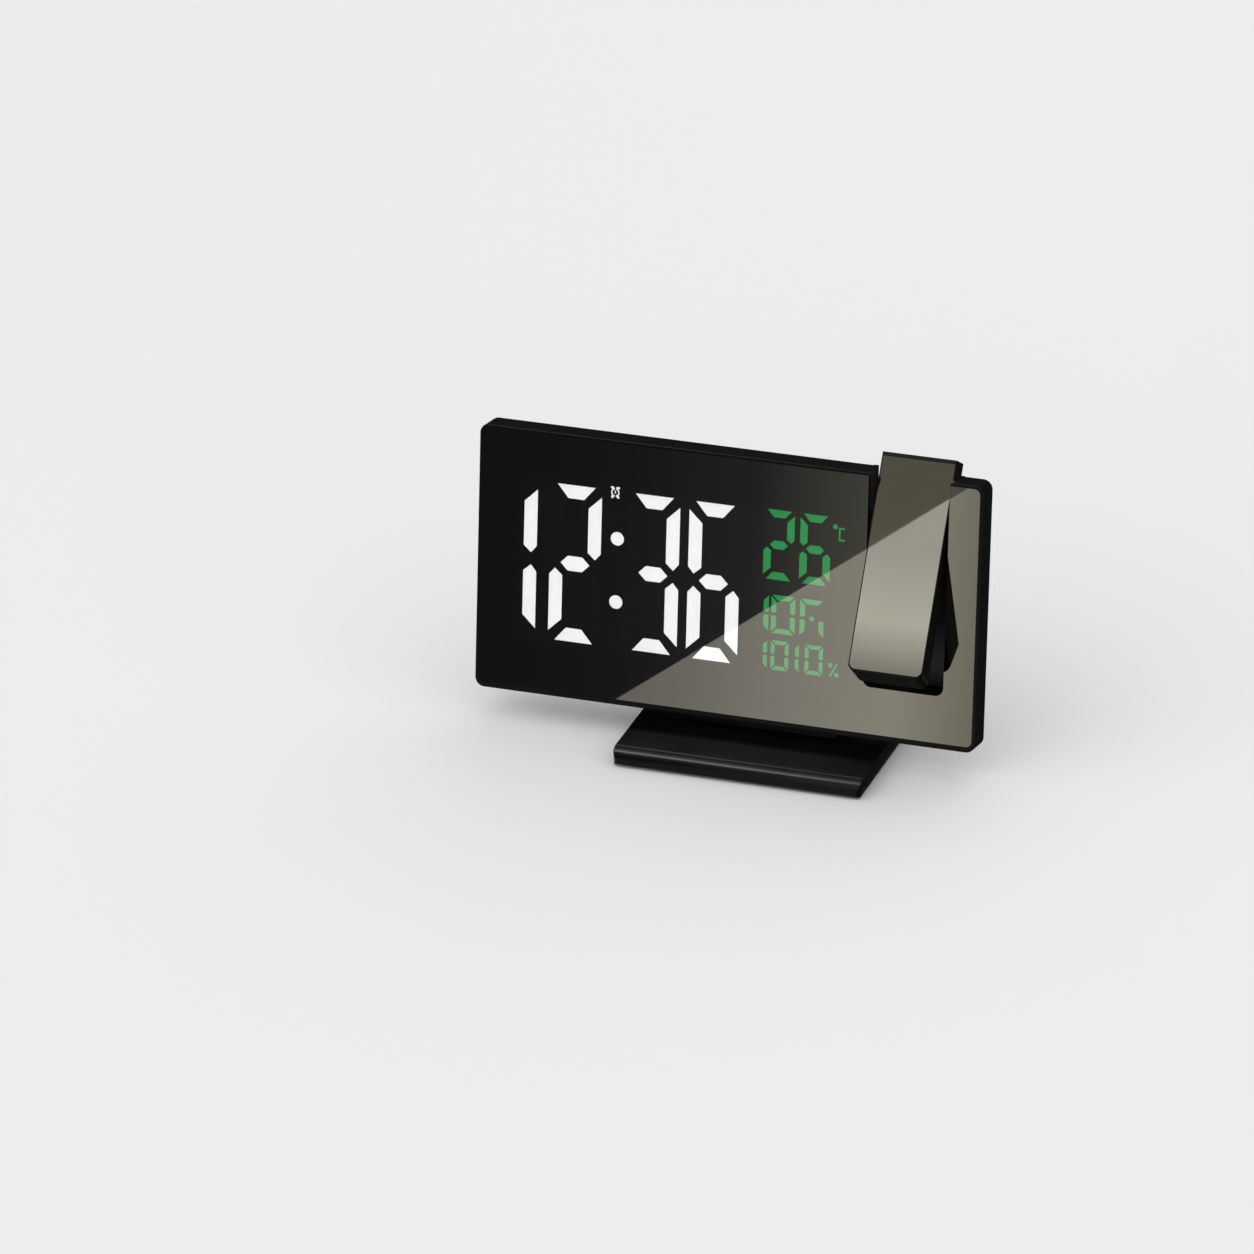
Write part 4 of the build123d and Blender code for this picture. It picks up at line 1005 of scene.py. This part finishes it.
@dataclass(frozen=True)
class ReflectionCard:
    """A glowing card that only shows in reflections.

    Attributes:
        name: The card's name.
        run: The direction in which its light changes.
        tones: Places along that direction in metres, each with the light there.
    """

    name: str
    run: Run
    tones: Tones

    def glow(self) -> bpy.types.Material:
        """The node material."""
        material = bpy.data.materials.new(self.name)
        material.use_nodes = True
        tree = material.node_tree
        tree.nodes.clear()
        coordinates = tree.nodes.new("ShaderNodeTexCoord")
        axes = tree.nodes.new("ShaderNodeSeparateXYZ")
        span = tree.nodes.new("ShaderNodeMapRange")
        light = tree.nodes.new("ShaderNodeEmission")
        output = tree.nodes.new("ShaderNodeOutputMaterial")
        first, last = self.tones[0][0], self.tones[-1][0]
        span.inputs["From Min"].default_value = first
        span.inputs["From Max"].default_value = last
        shares = tuple((place - first) / (last - first) for place, _ in self.tones)
        ramp = colour_ramp(tree, tuple(zip(shares, (tone for _, tone in self.tones))))
        tree.links.new(coordinates.outputs["Object"], axes.inputs["Vector"])
        tree.links.new(axes.outputs[self.run.value], span.inputs["Value"])
        tree.links.new(span.outputs["Result"], ramp.inputs["Fac"])
        tree.links.new(ramp.outputs["Color"], light.inputs["Color"])
        tree.links.new(light.outputs["Emission"], output.inputs["Surface"])
        return material

    def hang(self, corners: Sequence[Point]) -> None:
        """Hang the card.

        Args:
            corners: The card's corners in order.
        """
        mesh = bpy.data.meshes.new(self.name)
        mesh.from_pydata([tuple(corner) for corner in corners], [], [tuple(range(len(corners)))])
        mesh.materials.append(self.glow())
        card = bpy.data.objects.new(self.name, mesh)
        bpy.context.collection.objects.link(card)
        card.visible_camera = False
        card.visible_diffuse = False
        card.visible_shadow = False
        card.visible_transmission = False


@dataclass(frozen=True)
class SplitRoom:
    """What one mirror shows: a dark room, and a lighter part below a slanting edge.

    Every place is in millimetres on the mirror, to the right and up.

    Attributes:
        dark: The card above the edge.
        light: The card below the edge.
        edge_start: The lower end of the edge.
        edge_end: The upper end of the edge.
        dark_corners: The other corners of the dark card.
        light_corners: The other corners of the light card.
    """

    dark: ReflectionCard
    light: ReflectionCard
    edge_start: Tuple[float, float]
    edge_end: Tuple[float, float]
    dark_corners: Tuple[Tuple[float, float], ...]
    light_corners: Tuple[Tuple[float, float], ...]

    def hang(self, pane: MirrorPane, eye: Vector, card_y: float) -> None:
        """Hang both cards where the mirror shows them.

        Args:
            pane: The mirror.
            eye: Where the mirror is seen from.
            card_y: The upright plane in which the cards hang.
        """
        dark_places = (self.edge_start, self.edge_end) + self.dark_corners
        light_places = (self.edge_start,) + self.light_corners + (self.edge_end,)
        for card, places in ((self.dark, dark_places), (self.light, light_places)):
            card.hang([pane.shows(eye, right, height, card_y) for right, height in places])


@dataclass(frozen=True)
class SoftLamp:
    """A soft square lamp that looks at the clock.

    Attributes:
        name: The lamp's name.
        at: Where it hangs.
        size: The side of its square.
        watts: Its power.
        target: The place that it looks at.
    """

    name: str
    at: Point
    size: float
    watts: float
    target: Point = (0.0, 0.0, 0.05)

    def hang(self) -> None:
        """Hang the lamp."""
        data = bpy.data.lights.new(self.name, "AREA")
        data.size = self.size
        data.energy = self.watts
        lamp = bpy.data.objects.new(self.name, data)
        lamp.visible_camera = False
        bpy.context.collection.objects.link(lamp)
        lamp.location = self.at
        sight = Vector(self.target) - Vector(self.at)
        lamp.rotation_euler = sight.to_track_quat("-Z", "Y").to_euler()


@dataclass
class Studio:
    """Floor, reflection cards, lamps and camera: none of it is part of the clock.

    Attributes:
        floor_size: The side of the floor.
        floor_colour: The colour of the floor.
        floor_roughness: How matt the floor is.
        floor_shine: How strongly the floor reflects.
        sky: How bright the even light from all around is.
        card_y: The upright plane in which the mirrors' cards hang.
        room: What the large mirror shows.
        arm_room: What the arm's mirror shows.
        plain_cards: The other cards and their places: a dark backdrop behind the clock, dark
            ground at its right, a dark hood in front of it, and a bright strip over it that
            shows in the black plastic's rounded edges.
        lamps: The lamps.
        camera_at: Where the camera stands.
        camera_aim: The place that it looks at.
        camera_roll: How far it is tilted, in degrees.
        lens: Its focal length in millimetres.
        sensor: The width of its picture in millimetres.
        clip: The nearest and the farthest that it sees.
    """

    floor_size: float = 30.0
    floor_colour: Colour = grey(0.93)
    floor_roughness: float = 0.9
    floor_shine: float = 0.1
    sky: float = 0.72
    card_y: float = -0.11
    room: SplitRoom = SplitRoom(
        dark=ReflectionCard(
            "dark_room_card",
            Run.ACROSS,
            (
                (-0.13, (0.022, 0.0235, 0.0285, 1.0)),
                (-0.08, (0.03, 0.0315, 0.037, 1.0)),
                (-0.03, (0.055, 0.057, 0.066, 1.0)),
                (0.04, (0.26, 0.26, 0.23, 1.0)),
            ),
        ),
        light=ReflectionCard(
            "light_room_card",
            Run.ACROSS,
            (
                (-0.09, (0.42, 0.42, 0.41, 1.0)),
                (-0.05, (0.52, 0.52, 0.505, 1.0)),
                (-0.01, (0.72, 0.72, 0.69, 1.0)),
                (0.03, (0.85, 0.84, 0.77, 1.0)),
                (0.06, (0.56, 0.55, 0.48, 1.0)),
            ),
        ),
        edge_start=(-110.0, -48.4),
        edge_end=(99.0, 104.0),
        dark_corners=((-135.0, 104.0), (-135.0, -48.4)),
        light_corners=((135.0, -48.4), (135.0, 104.0)),
    )
    arm_room: SplitRoom = SplitRoom(
        dark=ReflectionCard(
            "dark_arm_card",
            Run.UPWARD,
            ((0.13, (0.165, 0.16, 0.135, 1.0)), (0.2, (0.13, 0.12, 0.094, 1.0))),
        ),
        light=ReflectionCard(
            "light_arm_card",
            Run.UPWARD,
            (
                (0.12, (0.3, 0.3, 0.27, 1.0)),
                (0.145, (0.68, 0.67, 0.6, 1.0)),
                (0.18, (0.52, 0.515, 0.48, 1.0)),
            ),
        ),
        edge_start=(-30.0, -22.7),
        edge_end=(30.0, 24.2),
        dark_corners=((30.0, 60.0), (-30.0, 60.0)),
        light_corners=((-30.0, -60.0), (30.0, -60.0)),
    )
    plain_cards: Tuple[Tuple[ReflectionCard, Plate], ...] = (
        (
            ReflectionCard("dark_backdrop_card", Run.UPWARD, ((0.0, grey(0.02)), (0.9, grey(0.12)))),
            Plate(-1.4, 1.4, 0.5, 0.5, 0.0, 0.9),
        ),
        (
            ReflectionCard("dark_ground_card", Run.ACROSS, ((0.06, grey(0.035)), (0.5, grey(0.035)))),
            Plate(0.0605, 0.5, -0.05, 0.6, 0.0004, 0.0004),
        ),
        (
            ReflectionCard("dark_hood_card", Run.UPWARD, ((0.0, grey(0.03)), (0.24, grey(0.03)))),
            Plate(-0.25, 0.2, -0.13, -0.13, 0.0, 0.24),
        ),
        (
            ReflectionCard(
                "bright_strip_card",
                Run.INWARD,
                ((-0.6, (8.0, 8.1, 8.4, 1.0)), (-0.35, (8.0, 8.1, 8.4, 1.0)), (-0.1, grey(0.3))),
            ),
            Plate(-0.5, -0.05, -0.6, -0.1, 0.8, 0.8),
        ),
    )
    lamps: Tuple[SoftLamp, ...] = (
        SoftLamp("key_lamp", (-1.1, -1.3, 1.9), 2.4, 10.0),
        SoftLamp("fill_lamp", (1.6, -0.6, 1.3), 2.0, 4.0),
        SoftLamp("rear_lamp", (0.3, 1.6, 1.4), 2.2, 6.0),
    )
    camera_at: Point = (1.14759, -2.87454, 1.68903)
    camera_aim: Point = (-0.03138, -0.01679, 0.04831)
    camera_roll: float = -3.29
    lens: float = 283.185
    sensor: float = 36.0
    clip: Tuple[float, float] = (0.1, 60.0)

    def camera(self) -> None:
        """Set up the camera."""
        data = bpy.data.cameras.new("studio_camera")
        data.sensor_width = self.sensor
        data.lens = self.lens
        data.clip_start, data.clip_end = self.clip
        camera = bpy.data.objects.new("studio_camera", data)
        bpy.context.collection.objects.link(camera)
        camera.location = self.camera_at
        look = Vector(self.camera_aim) - Vector(self.camera_at)
        roll = Matrix.Rotation(math.radians(self.camera_roll), 3, "Z")
        camera.rotation_mode = "QUATERNION"
        camera.rotation_quaternion = (look.to_track_quat("-Z", "Y").to_matrix() @ roll).to_quaternion()
        bpy.context.scene.camera = camera

    def world(self) -> None:
        """Fill the room with even light."""
        world = bpy.data.worlds.new("studio_world")
        world.use_nodes = True
        bpy.context.scene.world = world
        background = next(node for node in world.node_tree.nodes if node.type == "BACKGROUND")
        background.inputs["Color"].default_value = grey(1.0)
        background.inputs["Strength"].default_value = self.sky

    def floor(self) -> None:
        """Lay the pale floor."""
        deselect()
        bpy.ops.mesh.primitive_plane_add(size=self.floor_size)
        floor = bpy.context.object
        floor.name = "studio_floor"
        material, _, shader = new_material("floor_paper")
        shader.inputs["Base Color"].default_value = self.floor_colour
        shader.inputs["Roughness"].default_value = self.floor_roughness
        shader.inputs["Specular IOR Level"].default_value = self.floor_shine
        floor.data.materials.append(material)

    def cards(self) -> None:
        """Hang what shows in reflections."""
        eye = Vector(self.camera_at)
        self.room.hang(display_pane(), eye, self.card_y)
        self.arm_room.hang(arm_pane(), eye, self.card_y)
        for card, plate in self.plain_cards:
            card.hang(plate.corners())

    def build(self) -> None:
        """Build the studio."""
        self.camera()
        self.world()
        self.floor()
        self.cards()
        for lamp in self.lamps:
            lamp.hang()
        bpy.context.scene.view_settings.view_transform = "Standard"


def main() -> None:
    """Dress the clock and set up the studio."""
    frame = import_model()
    for part in (ClockCase, Display, Electronics, Hardware, ProjectorOptics, TongueBase, RearKeys):
        LOG.info("building %s", part.__name__)
        part(frame).build()
    Studio().build()


if __name__ == "__main__":
    main()
